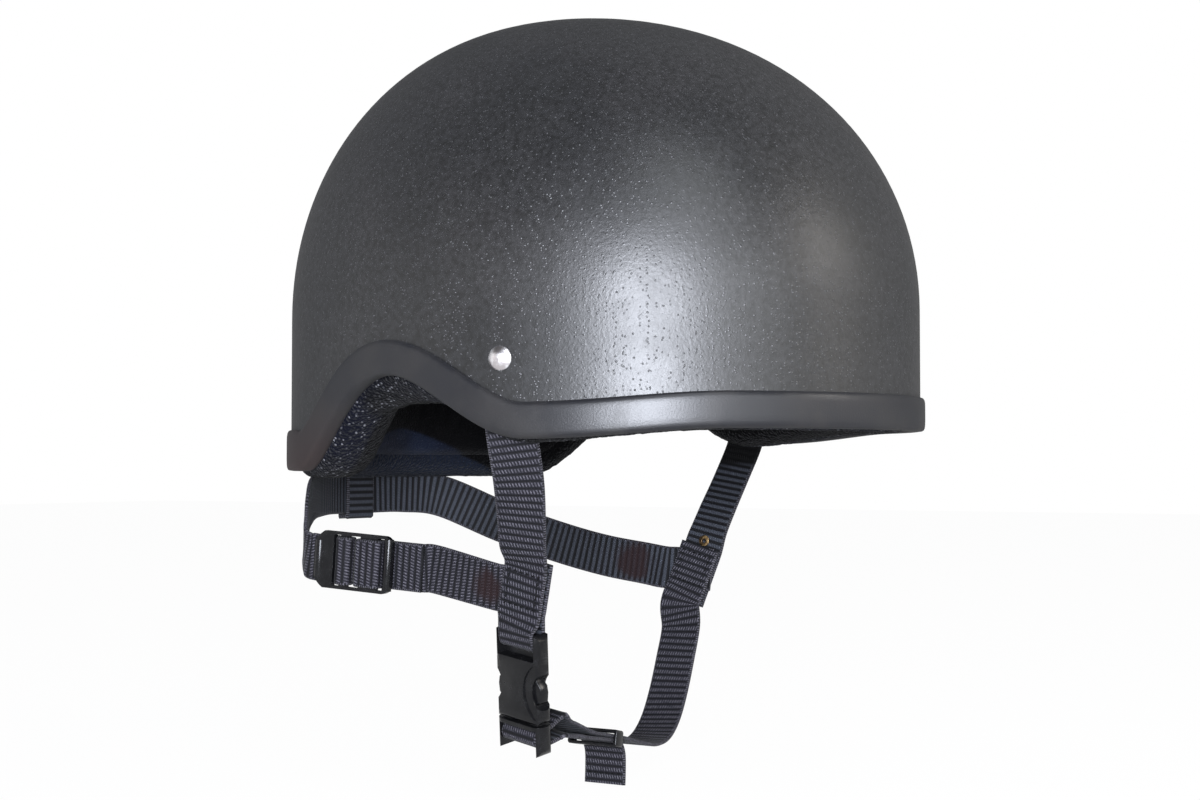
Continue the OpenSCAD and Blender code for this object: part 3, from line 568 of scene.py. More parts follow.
def makeWebbing():  # its own U runs across and V along, and U is shifted on the inner face
    material, shader = startMaterial("ribbed webbing", Roughness=0.72, Sheen_Weight=0.03,
                                     Sheen_Roughness=0.4, Specular_IOR_Level=webbing["gloss"])
    place = objectPlace(shader)
    part = splitPlace(addNode("UVMap", {}, shader.id_data, uv_map="UVMap").outputs[0])
    inner = calc("GREATER_THAN", part["X"], webbing["innerShift"] / 2)
    across = calc("SUBTRACT", part["X"], calc("MULTIPLY", inner, webbing["innerShift"]))
    row = calc("DIVIDE", part["Y"], webbing["ribPitch"] * mm)
    rib = calc("ABSOLUTE", calc("SINE", calc("MULTIPLY", row, math.pi)))
    uneven = patches(place, webbing["unevenPatches"], webbing["unevenLight"])
    fibre = noiseValue(place, webbing["fibreScale"], 2)
    dots = outerDots(row, across, uneven)
    yarn = mixColour(remap(rib, *webbing["yarnRise"]), webbing["dark"], webbing["yarn"])
    outerFace = mixColour(dots, yarn, webbing["dash"])
    face = mixColour(inner, outerFace, innerBars(rib, fibre))
    edge = remap(calc("ABSOLUTE", across), *webbing["selvage"])
    woven = mixColour(edge, face, beadedEdge(part["Y"], uneven))
    # the base colour carries painted shade beside the junctions and under the rim
    link(paintedRimShade(place, paintedJunctionShade(place, woven)), shader, "Base Color")
    height = calc("ADD", calc("MULTIPLY", dots, webbing["dotRelief"]),
                  calc("MULTIPLY", fibre, webbing["fibreRelief"]))
    addBump(shader, height, webbing["depth"])
    return material


thread = {"tones": [(0.0012, 0.0012, 0.0014), (0.0040, 0.0040, 0.0048)],
          "strandScale": 3200, "depth": 0.0001, "gloss": 0.1}


def makeThread():
    material, shader = startMaterial("bonded thread", Roughness=0.6,
                                     Specular_IOR_Level=thread["gloss"])
    strand = noiseValue(objectPlace(shader), thread["strandScale"], 2)
    link(mixColour(strand, *thread["tones"]), shader, "Base Color")
    addBump(shader, strand, thread["depth"])
    return material


finishes = {
    "shell": makeShellPaint(), "trim": makeTrimRubber(), "nylon": makeTwoTone(mouldedNylon),
    "webbing": makeWebbing(), "foam": makeFoam(), "silver": makeTwoTone(satinSilver),
    "brass": makeTwoTone(dullBrass), "pile": makeCloth(loopPile), "knit": makeCloth(blackKnit),
    "navy": makeCloth(navyKnit), "thread": makeThread(),
}
print("materials made:", len(finishes))

# shell: one outer face from the trim to the crown, then its wall

shellMesh = {"columns": 288, "rimRows": 6, "wallRows": 10, "domeRows": 40, "lowLift": 2.05,
             "highLift": 13.4}


def upperPoint(angle, row, mesh, foot, depth):  # up the wall from its foot, then over the dome
    if row < mesh["wallRows"]:
        return foot.lerp(domePoint(angle, 0, depth), row / mesh["wallRows"])
    return domePoint(angle, min((row - mesh["wallRows"]) / mesh["domeRows"], 1), depth)


def makeShell():
    rimRows, low, high = (shellMesh[k] for k in ("rimRows", "lowLift", "highLift"))
    rows = rimRows + shellMesh["wallRows"] + shellMesh["domeRows"]

    def place(u, v):
        angle, row = 360 * u, v * rows
        if row < rimRows:
            return rimPoint(angle, low + (high - low) * row / rimRows, 0)
        return upperPoint(angle, row - rimRows, shellMesh, rimPoint(angle, high, 0), 0)

    piece = layGrid("shell_moulding", shellMesh["columns"], rows, place)
    weld(piece)
    addModifier(piece, "SOLIDIFY", thickness=helmet["shellThickness"] * mm, offset=-1)
    finishPiece(piece, "shell", "helmet", ["shell"], "shell", 40)


makeShell()
print("shell made")

# edge trim: a U-shaped section run round the rim, with the butt joint at the nape

trim = {
    "columns": 432, "jointAngle": 142.5, "jointPinch": 0.45, "jointWidth": 0.9,
    "deeperAtNape": 0.42, "deeperAbove": 5, "deeperAngles": (114, 138),
    "section": [(-0.8, 0.1), (-1.4, 0.5), (-1.75, 1.3), (-1.93, 2.6), (-2.0, 5), (-2.0, 10.2),
                (-1.95, 11.9), (-1.7, 13.0), (-1.2, 13.7), (-0.6, 13.9), (-0.25, 13.4),
                (-0.25, 7), (-0.25, 1.8), (1.7, 1.8), (3.75, 1.8), (3.75, 6), (3.75, 10),
                (4.4, 10.1), (5.1, 9.4), (5.35, 8.4), (5.35, 5), (5.35, 2), (5.1, 0.9),
                (4.3, 0.15), (3, -0.1), (1, -0.15)],
}


def makeTrim():
    section, above = trim["section"], trim["deeperAbove"]
    count = len(section)

    def place(u, v):
        depth, height = section[round(v * count) % count]
        angle = 360 * u
        if depth < 0 and height > above:
            height += (height - above) * trim["deeperAtNape"] * smooth(
                *trim["deeperAngles"], fromFront(angle))
        gap = abs(angle - trim["jointAngle"]) * edgeStep(angle)
        nearJoint = math.exp(-(gap / trim["jointWidth"]) ** 2)
        pinch = trim["jointPinch"] * nearJoint if depth < 0 else 0
        return rimPoint(angle, height, depth + pinch)

    piece = layGrid("edge_trim_rubber", trim["columns"], count, place)
    weld(piece)
    finishPiece(piece, "trim", "helmet", ["edge_trim"], "trim", 50)


makeTrim()
print("trim made")

# comfort lining: a pile roll under the liner, then the inner face up to the crown

lining = {
    "columns": 432, "rollRows": 34, "wallRows": 12, "domeRows": 26, "thickness": 1.6,
    "roll": [(5.7, 4.4), (5.75, 1.9), (7.2, -0.2), (10.5, -1.2), (15.5, -1.4), (20.5, -0.6),
             (24.6, 1.2), (26.9, 4.2), (27.5, 8.5)],
    "archTop": 9.5, "archHang": 0.8, "hangFrom": (0.2, 0.75), "hangUpTo": (0.88, 1),
    "browTuck": 2.6, "tuckAngles": (62, 98), "tuckRows": 8,
    "loopHeight": 0.5, "loopSize": 2.2, "loopRows": 6,
}


def splineAt(points, k, u):  # smooth line through the points, at share u after point k
    a, b, c, d = (Vector(points[min(max(i, 0), len(points) - 1)]) for i in range(k - 1, k + 3))
    return (2 * b + (c - a) * u + (2 * a - 5 * b + 4 * c - d) * u * u
            + (3 * b - a - 3 * c + d) * u * u * u) / 2


def makeLining():
    shape, depth = lining, helmet["liningDepth"]
    roll, rolls = shape["roll"], shape["rollRows"]
    rows = rolls + shape["wallRows"] + shape["domeRows"]

    def place(u, v):
        angle, row = 360 * u, v * rows
        if row > rolls:
            foot = rimPoint(angle, roll[-1][1], depth)
            return upperPoint(angle, row - rolls, shape, foot, depth)
        share = row / rolls
        spot = share * (len(roll) - 1)
        k = min(int(spot), len(roll) - 2)
        deep, lift = splineAt(roll, k, spot - k)
        arch = max(edgeHeight(angle) - shape["archTop"], 0)  # it hangs into the arch
        lift -= shape["archHang"] * arch * smooth(*shape["hangFrom"], share) \
            * (1 - smooth(*shape["hangUpTo"], share))
        tuck = shape["browTuck"] * (1 - smooth(*shape["tuckAngles"], fromFront(angle)))
        spot = rimPoint(angle, lift + tuck * smooth(0, shape["tuckRows"], row), deep)
        rough = noise.noise(spot / shape["loopSize"]) * smooth(0, shape["loopRows"], row)
        return spot + Vector((0, 0, -1)) * rough * shape["loopHeight"]

    piece = layGrid("comfort_lining_pile", shape["columns"], rows, place)
    weld(piece, outwards=False)
    addModifier(piece, "SOLIDIFY", thickness=shape["thickness"] * mm, offset=1)
    finishPiece(piece, "pile", "helmet", ["comfort_lining"], "pile", 180)


makeLining()
print("lining made")

# pads: crowned covers; the upright ones are puffed by a short cloth simulation and held flat where
# they lie

padFill = {"voxel": 2.2, "pressure": 3.0, "cap": 2.2, "frames": 20, "restGap": 0.5,
           "edge": 1.2, "crownPowers": (5, 4), "coverDrop": 1.5, "overEdge": 7}
padShapes = {  # looks are the finish and the slot
    "brow_pad": {"from": -58, "to": 58, "low": 7, "high": 38, "thickness": 8,
                 "cells": (90, 14), "looks": ("knit", "pile")},
    "nape_pad": {"from": 124, "to": 236, "low": -12.5, "high": 34, "thickness": 10,
                 "cells": (90, 18), "looks": ("navy", "navy")},
    "temple_pad_right": {"from": 64, "to": 116, "low": 7, "high": 46.4, "thickness": 6,
                         "cells": (40, 16), "looks": ("knit", "pile")},
    "temple_pad_left": {"from": 296, "to": 244, "low": 7, "high": 46.4, "thickness": 6,
                        "cells": (40, 16), "looks": ("knit", "pile")},
}


def swell(u, v, most):  # height of a crowned cover over its back
    edge = padFill["edge"]
    side, end = (math.sqrt(max(0, 1 - abs(2 * share - 1) ** power))
                 for share, power in zip((u, v), padFill["crownPowers"]))
    return edge + (most - edge) * side * end


def layerDepth(spot):  # depth below the outer face on the upright wall, found by halving
    low, high = 0, 60
    for _ in range(24):
        middle = (low + high) / 2
        outside = (abs(spot.x) / mm / (helmet["width"] / 2 - middle)) ** helmet["planPower"] \
            + (abs(spot.y) / mm / (helmet["length"] / 2 - middle)) ** helmet["planPower"] > 1
        low, high = (low, middle) if outside else (middle, high)
    return (low + high) / 2


def puff(piece, restsOn):
    pick(piece)
    piece.data.remesh_voxel_size = padFill["voxel"] * mm
    bpy.ops.object.voxel_remesh()
    start = [vertex.co.copy() for vertex in piece.data.vertices]
    resting = piece.vertex_groups.new(name="resting")
    resting.add([i for i, spot in enumerate(start) if restsOn(spot)], 1.0, "ADD")
    cloth = piece.modifiers.new("Cloth", "CLOTH")
    cloth.settings.vertex_group_mass = "resting"
    cloth.settings.use_pressure = True
    cloth.settings.uniform_pressure_force = padFill["pressure"]
    cloth.settings.effector_weights.gravity = 0
    for number in range(1, padFill["frames"] + 1):
        scene.frame_set(number)
    bpy.ops.object.modifier_apply(modifier=cloth.name)
    scene.frame_set(1)
    for vertex, spot in zip(piece.data.vertices, start):
        push = vertex.co - spot
        if push.length > padFill["cap"] * mm:
            vertex.co = spot + push * (padFill["cap"] * mm / push.length)
    piece.vertex_groups.clear()
    addModifier(piece, "SUBSURF", levels=1, render_levels=1)


def makeUprightPad(name, values):
    across, up = values["cells"]
    base = helmet["padDepth"]

    def spotAt(u, v, depth):
        angle = values["from"] + (values["to"] - values["from"]) * u
        x, y = planPoint(angle, depth)
        foot = max(values["low"], edgeHeight(angle) + padFill["overEdge"])
        return Vector((x, y, foot + (values["high"] - foot) * v))

    def front(u, v):
        return spotAt(u, v, base + swell(u, v, values["thickness"] - padFill["coverDrop"]))

    back = layGrid(name + "_back", across, up, lambda u, v: spotAt(u, v, base))
    cover = layGrid(name + "_cover", across, up, front)
    editAll(back)
    bpy.ops.mesh.flip_normals()
    piece = joinPieces(name + "_cushion", [cover, back])
    bridgeOpenEdges(piece)
    puff(piece, lambda spot: layerDepth(spot) < base + padFill["restGap"])
    finish, slot = values["looks"]
    finishPiece(piece, finish, "helmet", [name], slot, 180)


for padName, padValues in padShapes.items():
    makeUprightPad(padName, padValues)

crownPad = {"rows": 3, "ofRows": 8, "cells": (96, 24), "thickness": 9}


def makeCrownPad():
    reach, base = crownPad["rows"] / crownPad["ofRows"], helmet["padDepth"]

    def front(u, v):
        most = crownPad["thickness"] - padFill["coverDrop"]
        depth = base + swell(0.5 + (1 - v) / 2, 0.5, most)
        return domePoint(360 * u, 1 - reach * (1 - v), depth)

    def back(u, v):
        return domePoint(360 * u, 1 - reach * (1 - v), base)

    pieces = [layGrid("crown_front", *crownPad["cells"], front),
              layGrid("crown_back", *crownPad["cells"], back)]
    for part in pieces:
        weld(part)
    piece = joinPieces("crown_pad_cushion", pieces)
    bridgeOpenEdges(piece)
    finishPiece(piece, "knit", "helmet", ["crown_pad"], "pile", 180)


makeCrownPad()
print("pads made")

# the parts that hang at an angle: place, turn in degrees, and -1 where their own X is mirrored

frames = {
    "buckle": ((-66.7, -4.2, -116.7), (7, -9, -15), 1),
    "adjuster": ((-83, 70.1, -54.4), (4, 0, 4), 1),
    "keeper": ((-16, -8, -130), (0, 12.4, 0), 1),
    "rightJunction": ((-78.8, -11, -62.5), (15, -9.5, 0), 1),
    "leftJunction": ((81.6, -7, -62.5), (17, 10.5, 4), -1),
}


def turnedBy(name, point):
    angles = [math.radians(a) for a in frames[name][1]]
    return Euler(angles, "XYZ").to_matrix() @ Vector(point)


def placer(name):  # gives the function from a part's own places to the helmet's
    place, _, side = frames[name]
    return lambda x, y, z: Vector(place) + turnedBy(name, (side * x, y, z))


buckle, adjuster, keeper, rightJunction, leftJunction = (placer(name) for name in frames)

harness = {
    "play": 0.2, "layerStep": 1.8, "sewnStep": 2.0,
    "crossings": {"rightJunction": (6, -3), "leftJunction": (15, -1.2)},  # angle and lift
    "rivetAngle": 80.9, "rivetHeight": 26.5, "washer": 13,
    "sideDepth": 4.888, "exitDepth": 7.738,
    "socketBar": 33.5, "plugBar": -6.2, "barPath": 3.1,
    "nearWeb": 3.0, "farWeb": 4.8, "adjusterLength": 38,
    "frontBar": (-12.2, -3.6), "rearBar": (2.4, 6),
    "hangerY": 135.02, "hangerTop": 136.871, "hangerStep": 2.3, "napeStrapHeight": -27,
}
buckleAcross = turnedBy("buckle", (0, 1, 0))
adjusterUp = turnedBy("adjuster", (0, 0, 1))
rightAcross = turnedBy("rightJunction", (0, 1, 0))
leftAcross = turnedBy("leftJunction", (0, 1, 0))


def crossing(name, stations):  # the strap that is sewn across a junction
    (angle, lift), place = harness["crossings"][name], placer(name)
    upwards = turnedBy(name, (0, sine(angle), cosine(angle)))
    return [(place(harness["sewnStep"], y * cosine(angle), lift - y * sine(angle)), upwards)
            for y in stations]


def aroundBar(z, angle):
    return buckle(harness["barPath"] * cosine(angle), 0, z + harness["barPath"] * sine(angle))


webMesh = {"faceCells": 12, "edgeCells": 3, "perRib": 6, "routeSteps": 14}


def sampleRoute(route):  # its points and its across directions, closer together
    lines, steps = [], webMesh["routeSteps"]
    for points in zip(*route):
        line = [splineAt(points, k, step / steps)
                for k in range(len(points) - 1) for step in range(steps)]
        lines.append(line + [Vector(points[-1])])
    return lines


def webSection():  # across, through and cloth U round the section, the outer face first
    bulge, shift = webbing["thickness"] / 2, webbing["innerShift"]
    flat = webbing["width"] / 2 - bulge
    cells, edge = webMesh["faceCells"], webMesh["edgeCells"]
    bends = [180 * i / (edge + 1) for i in range(1, edge + 1)]
    section = [(flat - 2 * flat * i / cells, 1, 0) for i in range(cells + 1)]
    section += [(-flat - bulge * sine(bend), cosine(bend), 0) for bend in bends]
    section += [(-flat + 2 * flat * i / cells, -1, shift) for i in range(cells + 1)]
    return section + [(flat + bulge * sine(bend), -cosine(bend), shift) for bend in bends]


def layWebbing(name, route, outerFirst=True):
    centre, side = sampleRoute(route)
    lengths = [0.0]
    for a, b in zip(centre, centre[1:]):
        lengths.append(lengths[-1] + (b - a).length)
    total = lengths[-1]
    stations = max(int(total / webbing["ribPitch"] * webMesh["perRib"]), 8)
    section = webSection()
    count = len(section)
    spots, k = [], 0
    for i in range(stations + 1):
        at = total * i / stations
        while k < len(lengths) - 2 and lengths[k + 1] < at:
            k += 1
        share = (at - lengths[k]) / max(lengths[k + 1] - lengths[k], 1e-9)
        spots.append((centre[k].lerp(centre[k + 1], share), side[k].lerp(side[k + 1], share), at))
    half, depth = webbing["thickness"] / 2, webbing["ribDepth"]
    fade = [webbing["width"] / 2 - inset for inset in webbing["ribFade"]]
    rings = []
    for i, (spot, across, at) in enumerate(spots):
        ahead = (spots[min(i + 1, stations)][0] - spots[max(i - 1, 0)][0]).normalized()
        across = (across - ahead * across.dot(ahead)).normalized()
        through = ahead.cross(across).normalized()
        rib = abs(math.sin(math.pi * at / webbing["ribPitch"])) ** webbing["ribPower"]
        rings.append([spot + across * x + through * y * (
            half - depth * (1 - rib) * smooth(*fade, abs(x))) for x, y, _ in section])

    def place(u, v):
        return rings[round(v * stations)][round(u * count) % count]

    def cloth(u, v):
        x, _, face = section[round(u * count) % count]
        if not outerFirst:
            face = webbing["innerShift"] - face
        return (x * mm + face, v * total * mm)

    piece = layGrid(name, count, stations, place, cloth)
    weld(piece)
    closeEnds(piece)
    return piece


def strap(node, route, body="helmet", outerFirst=True):
    piece = layWebbing(node + "_web", route, outerFirst)
    return finishPiece(piece, "webbing", body, [node], "webbing", 60)


def sideTop():
    x, y = planPoint(harness["rivetAngle"], harness["sideDepth"])
    ex, ey = planPoint(harness["rivetAngle"], harness["exitDepth"])
    a, b = planPoint(harness["rivetAngle"] + 1, 0), planPoint(harness["rivetAngle"] - 1, 0)
    side = Vector((a[0] - b[0], a[1] - b[1], 0)).normalized()
    height = harness["rivetHeight"]
    spots = [(x, y, height + 12), (x, y, height), (x, y, height - harness["washer"] / 2 - 1),
             (ex - 0.6, y, 12), (ex, ey, 6), (ex + 3.2, ey, -4)]
    return [(spot, side) for spot in spots], side


def swung(direction, degrees):
    return Euler((0, 0, math.radians(degrees)), "XYZ").to_matrix() @ Vector(direction)


upper, sideDirection = sideTop()
lap = harness["barPath"]
rightRoute = upper[:5] + [(upper[5][0], swung(sideDirection, 20)),
                          ((-97, -20.5, -20), swung(sideDirection, 18)),
                          ((-89.5, -17, -35), swung((0, 1, 0), 15)),
                          ((-84.4, -14.4, -46), swung((0, 1, 0), 9))]
rightRoute += [(rightJunction(0, 0, z), rightAcross) for z in (9, 0, -12)]
rightRoute += [(buckle(-lap - 0.2, 0, harness["socketBar"] + 5), buckleAcross)]
rightRoute += [(aroundBar(harness["socketBar"], a), buckleAcross) for a in range(180, 361, 30)]
rightRoute += [(buckle(lap + 0.1, 0, harness["socketBar"] + 6), buckleAcross)]
rightRoute += [(rightJunction(2 * harness["sewnStep"], 0, z), rightAcross)
               for z in (-10, 0, 9, 11)]
strap("side_strap_right", rightRoute, outerFirst=False)

leftRoute = [((-p[0], p[1], p[2]), (-s[0], s[1], 0)) for p, s in upper]
leftDrop = [((97, -18, -20), (0.12, 0.99, 0)), ((89.5, -14.3, -35), (0.07, 0.99, 0)),
            ((84.8, -11.6, -46), (0.03, 1, 0))]
leftRoute += leftDrop + [(leftJunction(0, 0, z), leftAcross) for z in (9, 0, -9, -17)]
strap("side_strap_left", leftRoute)

hangerY, hangerStep, strapZ = (harness[k] for k in ("hangerY", "hangerStep", "napeStrapHeight"))


def hangerRoute():
    side = (1, 0, 0)
    top = harness["hangerTop"]
    low, deep = strapZ - webbing["width"] / 2, webbing["thickness"] / 2 + harness["play"] + 0.2
    spots = [(0, top, 32), (0, top, 20), (0, top - 0.4, 11), (0, hangerY, 0),
             (0, hangerY, helmet["edge"][-1][1])]
    spots += [(0, hangerY - hangerStep + hangerStep * cosine(a), low + deep * sine(a))
              for a in range(0, -181, -45)]
    spots += [(0, hangerY - 2 * hangerStep, strapZ + 11),
              (0, hangerY - harness["layerStep"] - 0.4, strapZ + 19),
              (0, hangerY - harness["layerStep"], 6)]
    return [(spot, side) for spot in spots]


strap("nape_hanger", hangerRoute())

up = (0, 0, 1)
napeRoute = [(adjuster(harness["nearWeb"], harness["adjusterLength"] / 2 + y, 0), adjusterUp)
             for y in (-1.2, 1.8)]
napeRoute += [((-80.6, 95.6, -52.1), (-0.07, -0.1, 0.99)),  # it climbs steeply to the nape
              ((-77.6, 100.2, -48.4), (-0.4, -0.36, 0.82)),
              ((-73.3, 103, -40.6), (-0.68, -0.52, 0.5)),
              ((-69.6, 105.2, -34.3), (-0.55, -0.4, 0.74)),
              ((-62.5, 109.4, -30), (-0.2, -0.12, 0.97))]
napeRoute += [(spot, up) for spot in (
    (-51.5, 116, -28.2), (-38, 123.6, -27.6), (-24, 129.4, strapZ),
    (-11, hangerY - hangerStep - 0.5, strapZ),
    (0, hangerY - hangerStep, strapZ), (11, hangerY - hangerStep - 0.5, strapZ),
    (28, 126, -27), (46, 115, -29.5), (66, 92, -42.5), (76, 66, -52), (79.4, 42, -58))]
napeRoute += [((80, 20, -61.3), (0.05, 0, 1))]
napeRoute += crossing("leftJunction", (16, 9, 0, -9))
napeStrap = strap("nape_strap", napeRoute, None, False)

rearRoute = crossing("rightJunction", (-6, 2, 9, 15))
rearRoute += [(adjuster(harness["farWeb"], y, 0), adjusterUp) for y in (-38, -31.5, -25.3)]
rearStrap = strap("rear_strap_right", rearRoute, None, False)

half = harness["layerStep"] / 2 + 0.05
chinUp = (0, 1, 0)
chinRoute = [(buckle(10 + x, 0, harness["plugBar"] + 5.3 + 0.3 * x), buckleAcross)
             for x in (0.4, 2.2, 4)]
chinRoute += [((-46, -6.8, -119.4), (0.15, 1, 0))]
chinRoute += [(keeper(x, 0, half), chinUp) for x in (-18, -9, 0, 10)]
chinRoute += [(spot, chinUp) for spot in (
    (8, -8, -134.8), (22, -8, -137.6), (35, -7.2, -136.4), (47, -5.8, -130),
    (57, -4.6, -119), (65, -4.2, -104), (71, -4, -90))]
chinRoute += [(leftJunction(2 * harness["sewnStep"], 0, z), leftAcross)
              for z in (-19, -10, 0, 10)]
chinStrap = strap("chin_strap", chinRoute, None)

tailRoute = [(buckle(10 + x, 0, harness["plugBar"] - 2.6 + 0.1 * x), buckleAcross)
             for x in (0.4, 2.2, 4)]
tailRoute += [((-44, -6.8, -125.2), (0.1, 1, 0)), (keeper(-18, 0, -half - 0.5), chinUp)]
tailRoute += [(keeper(x, 0, -half), chinUp) for x in (-9, 0, 4.5)]
tailRoute += [(spot, chinUp) for spot in (
    (-9.2, -8, -134.2), (-7.6, -8, -138), (-7.4, -8, -144), (-7.8, -8, -151))]
chinTail = strap("chin_strap_tail", tailRoute, None, False)

loopRoute = [(buckle(10.38, 0, harness["plugBar"] + 5.4), buckleAcross),
             (buckle(5, 0, harness["plugBar"] + 3.3), buckleAcross)]
loopRoute += [(aroundBar(harness["plugBar"], a), buckleAcross) for a in range(90, 271, 30)]
loopRoute += [(buckle(5, 0, harness["plugBar"] - 3.1), buckleAcross),
              (buckle(10.38, 0, harness["plugBar"] - 2.6), buckleAcross)]
strap("chin_loop", loopRoute, "buckle_plug", False)


def roundEdge(y, side):
    return [(1.2, y + side), (-1.2, y + side), (-2.2, y + side * 0.6), (-2.8, y - side * 0.4)]


def makeWrap():
    near, far = harness["nearWeb"], harness["farWeb"]
    (f0, f1), (r0, r1) = harness["frontBar"], harness["rearBar"]
    tail = harness["adjusterLength"] / 2 - 1.5
    front = [(far, -25), (far, -9), (far - 0.7, f1 - 1)] + roundEdge(f1, 1) \
        + roundEdge(f0, -1)[::-1] + [(near - 0.6, f0 - 2.6), (near, f0 - 5), (near, -20),
                                     (near, -26), (near, -32)]
    rear = [(near, tail), (near, r1 + 6), (near - 0.6, r1 + 3)] + roundEdge(r1, 1) \
        + roundEdge(r0, -1)[::-1] + [(far - 0.6, r0 + 0.6), (far, r0 + 4), (far, tail)]
    pieces = [layWebbing("wrap", [(adjuster(x, y, 0), adjusterUp) for x, y in spots])
              for spots in (front, rear)]
    piece = joinPieces("adjuster_wrap_web", pieces)
    finishPiece(piece, "webbing", "adjuster", ["adjuster_wrap"], "webbing", 60)


makeWrap()

sewing = {"length": 2.1, "width": 0.8, "height": 0.7, "pitch": 3.1, "box": (6.8, 6, -8),
          "cornerGap": 0.18, "hem": -146.5, "hemFrom": -15, "hemTo": -1}


def makeStitches(name, seams):  # each seam is a start, an end and the way out of the cloth
    stitches = []
    for start, end, out in seams:
        count = max(round((end - start).length / sewing["pitch"]), 1)
        along = (end - start).normalized()
        turn = Matrix((along, out.cross(along), out)).transposed().to_euler()
        for i in range(count + 1):
            deselectAll()
            bpy.ops.mesh.primitive_uv_sphere_add(
                segments=8, ring_count=6, radius=0.5, rotation=turn,
                location=start.lerp(end, i / count) * mm,
                scale=[sewing[k] * mm for k in ("length", "width", "height")])
            stitches.append(bpy.context.active_object)
    piece = joinPieces(name, stitches)
    finishPiece(piece, "thread", "helmet", None, "webbing", 60)


def boxSeams(name, layer):  # a sewn box over a junction
    half, top, low = sewing["box"]
    corners = [placer(name)(layer, y, z) for y, z in
               ((-half, low), (half, low), (half, top), (-half, top))]
    out = turnedBy(name, (-1, 0, 0))
    return [(corners[i], corners[(i + 1) % 4].lerp(corners[i], sewing["cornerGap"]), out)
            for i in range(4)]


skin = webbing["thickness"] / 2 + 0.02
makeStitches("right_junction_stitches", boxSeams("rightJunction", -skin))
makeStitches("left_junction_stitches", boxSeams("leftJunction", 2 * harness["sewnStep"] + skin))
hemStart, hemEnd = (Vector((-7.6 - skin, sewing[k], sewing["hem"])) for k in ("hemFrom", "hemTo"))
makeStitches("tail_hem_stitches", [(hemStart, hemEnd, Vector((-1, 0, 0)))])
print("webbing laid and sewn")

# fabric that crosses a joint is attached to no body and has its placing baked into the mesh; the
# joint points worked out below are not used
buckle(14, 0, -0.5) * mm
keeper(-6, 0, 0) * mm
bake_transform(chinStrap)
buckle(14, 0, -8.5) * mm
keeper(-6, 0, 0) * mm
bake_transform(chinTail)
adjuster(3, 20, 0) * mm
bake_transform(napeStrap)
adjuster(4.8, -30, 0) * mm
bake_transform(rearStrap)

# moulded and metal hardware: the CAD shapes with their edges rounded

moulded = {"segments": 3, "sharpAngle": 40, "smoothAngle": 40}
mouldedParts = {  # body, and rounding in millimetres
    "buckle_socket": ("helmet", 0.45), "buckle_plug": ("buckle_plug", 0.4),
    "latch_arm_front": ("latch_front", 0.4), "latch_arm_rear": ("latch_rear", 0.4),
    "adjuster_frame": ("adjuster", 0.5), "strap_keeper": ("keeper", 0.4),
}
metal = {"segments": 2, "sharpAngle": 50, "smoothAngle": 45, "rounding": 0.12,
         "silver": ["rivet_right", "rivet_left", "rivet_rear", "washer_right", "washer_left",
                    "washer_rear"],
         "brass": ["strap_eyelet"]}


def makeHardware(node, ending, body, finish, slot, rounding, edges):
    piece = cleanCopy(f"{node}_{ending}", node)
    addModifier(piece, "BEVEL", width=rounding * mm, segments=edges["segments"],
                limit_method="ANGLE", angle_limit=math.radians(edges["sharpAngle"]))
    finishPiece(piece, finish, body, [node], slot, edges["smoothAngle"])


for node, (body, rounding) in mouldedParts.items():
    makeHardware(node, "moulding", body, "nylon", "nylon", rounding, moulded)
for finish, slot in (("silver", "rivet"), ("brass", "brass")):
    for node in metal[finish]:
        makeHardware(node, "metal", "helmet", finish, slot, metal["rounding"], metal)
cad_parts["impact_liner"].data.materials.clear()
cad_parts["impact_liner"].data.materials.append(finishes["foam"])
print("hardware made")

# camera, floor and light

view = {"place": (-0.6928, -0.4000, -0.0135), "heading": -60.063, "pitch": 2.006,
        "lens": 54.63, "sensor": 36.0, "clip": (0.01, 50)}
bpy.ops.object.camera_add(location=view["place"], rotation=(
    math.radians(90 + view["pitch"]), 0, math.radians(view["heading"])))
camera = bpy.context.active_object
camera.data.lens, camera.data.sensor_width = view["lens"], view["sensor"]
camera.data.clip_start, camera.data.clip_end = view["clip"]
scene.camera = camera

floor = {"size": 9.0, "below": 0.002, "colour": (0.9, 0.9, 0.9), "showing": 0.97}


def whiteToTheEye(tree):  # 1 for rays that show the background
    path = addNode("LightPath", {}, tree)
    seen = calc("MAXIMUM", path.outputs["Is Camera Ray"], path.outputs["Is Glossy Ray"])
    return calc("MAXIMUM", seen, path.outputs["Is Transmission Ray"])


def makeFloor():
    deselectAll()
    lowest = cadBounds[0].z
    bpy.ops.mesh.primitive_plane_add(size=floor["size"], location=(0, 0, lowest - floor["below"]))
    piece = bpy.context.active_object
    piece.name = "studio_floor"
    material, shader = startMaterial("pale floor", Roughness=0.9, Base_Color=shade(floor["colour"]))
    tree = shader.id_data
    glow = addNode("Emission", {"Color": (1, 1, 1, 1), "Strength": 1.0}, tree)
    share = calc("MULTIPLY", whiteToTheEye(tree), floor["showing"])
    mix = addNode("MixShader", {0: share, 1: shader.outputs[0], 2: glow.outputs[0]})
    link(mix.outputs[0], tree.nodes["Material Output"], "Surface")
    piece.data.materials.append(material)


makeFloor()

sky = {"fill": (0.44, 0.45, 0.50), "strength": 0.6, "ceiling": 0.15, "ceilingFrom": 15,
       "ceilingTo": 36}


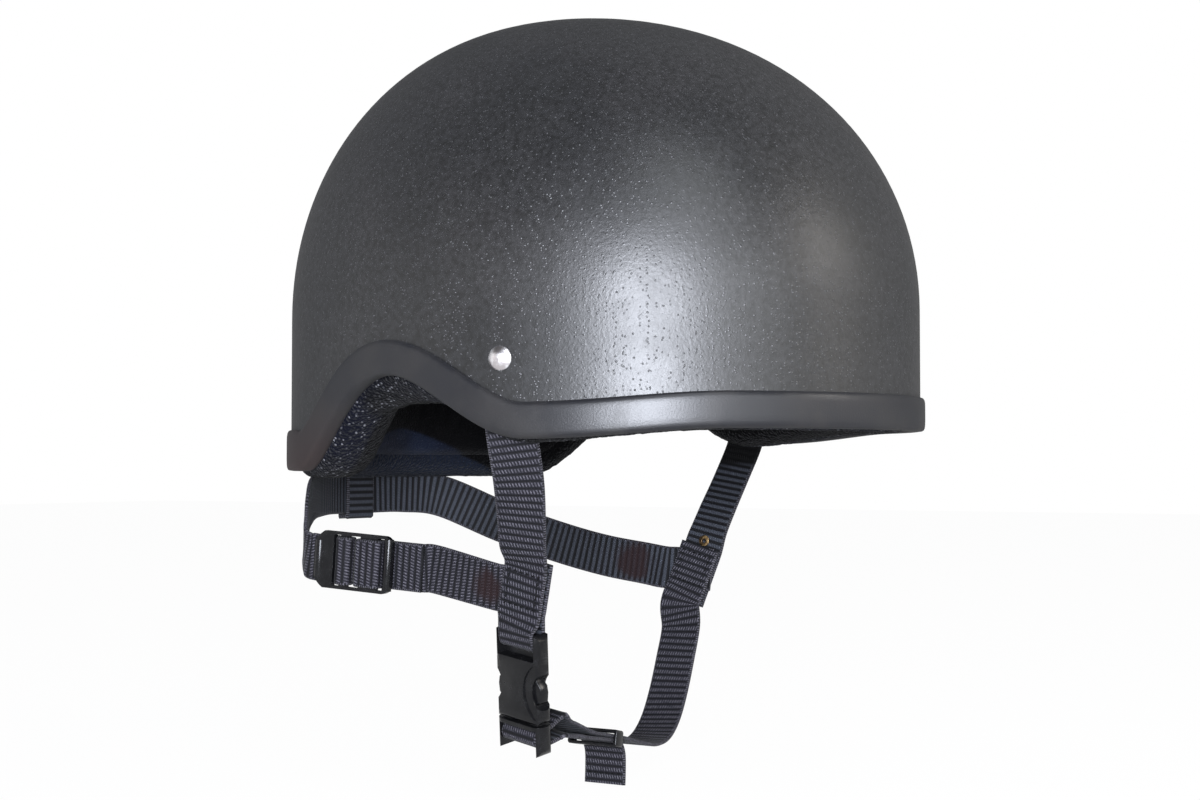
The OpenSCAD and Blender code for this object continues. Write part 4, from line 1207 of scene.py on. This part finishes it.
def makeWorld():  # a white sweep all round under a dim ceiling
    world = bpy.data.worlds.new("studio")
    scene.world = world
    world.use_nodes = True
    tree = world.node_tree
    fill = tree.nodes["Background"]
    fill.inputs["Color"].default_value = shade(sky["fill"])
    fill.inputs["Strength"].default_value = sky["strength"]
    direction = addNode("TexCoord", {}, tree).outputs["Generated"]
    height = splitPlace(direction)["Z"]
    sweep = remap(height, sine(sky["ceilingFrom"]), sine(sky["ceilingTo"]), (1, sky["ceiling"]))
    white = addNode("Background", {"Color": (1, 1, 1, 1), "Strength": sweep})
    mix = addNode("MixShader", {0: whiteToTheEye(tree), 1: fill.outputs[0], 2: white.outputs[0]})
    link(mix.outputs[0], tree.nodes["World Output"], "Surface")


makeWorld()

# in metres; azimuth goes from the camera's side to its right, as the camera sees it
lampAim = {"point": (0, 0, 0.01), "cameraSide": 210}
lamps = [
    {"name": "key", "azimuth": -3, "elevation": 2, "distance": 1.5, "size": (0.56, 0.64),
     "watts": 66, "colour": (0.86, 0.90, 1.0)},
    {"name": "wide", "azimuth": 30, "elevation": 6, "distance": 1.6, "size": (1.1, 0.9),
     "watts": 9, "colour": (0.94, 0.97, 1.0)},
    {"name": "side", "azimuth": 72, "elevation": 20, "distance": 1.6, "size": (0.4, 0.6),
     "watts": 10, "colour": (1.0, 0.95, 0.88)},
    {"name": "high", "azimuth": 14, "elevation": 42, "distance": 1.5, "size": (0.7, 0.9),
     "watts": 7, "colour": (0.92, 0.96, 1.0)},
    {"name": "left", "azimuth": -75, "elevation": 10, "distance": 1.7, "size": (0.9, 0.9),
     "watts": 1, "colour": (1.0, 0.96, 0.93)},
]


def makeLamps():
    aim = Vector(lampAim["point"])
    for lamp in lamps:
        angle, high = lampAim["cameraSide"] + lamp["azimuth"], lamp["elevation"]
        away = Vector((cosine(angle) * cosine(high), sine(angle) * cosine(high), sine(high)))
        place = aim + away * lamp["distance"]
        bpy.ops.object.light_add(type="AREA", location=place,
                                 rotation=(-away).to_track_quat("-Z", "Y").to_euler())
        light = bpy.context.active_object
        light.name = lamp["name"] + "_lamp"
        light.data.shape = "ELLIPSE"
        light.data.size, light.data.size_y = lamp["size"]
        light.data.energy = lamp["watts"]
        light.data.color = lamp["colour"]


makeLamps()
scene.view_settings.view_transform = "Standard"
print("camera, floor and light ready")
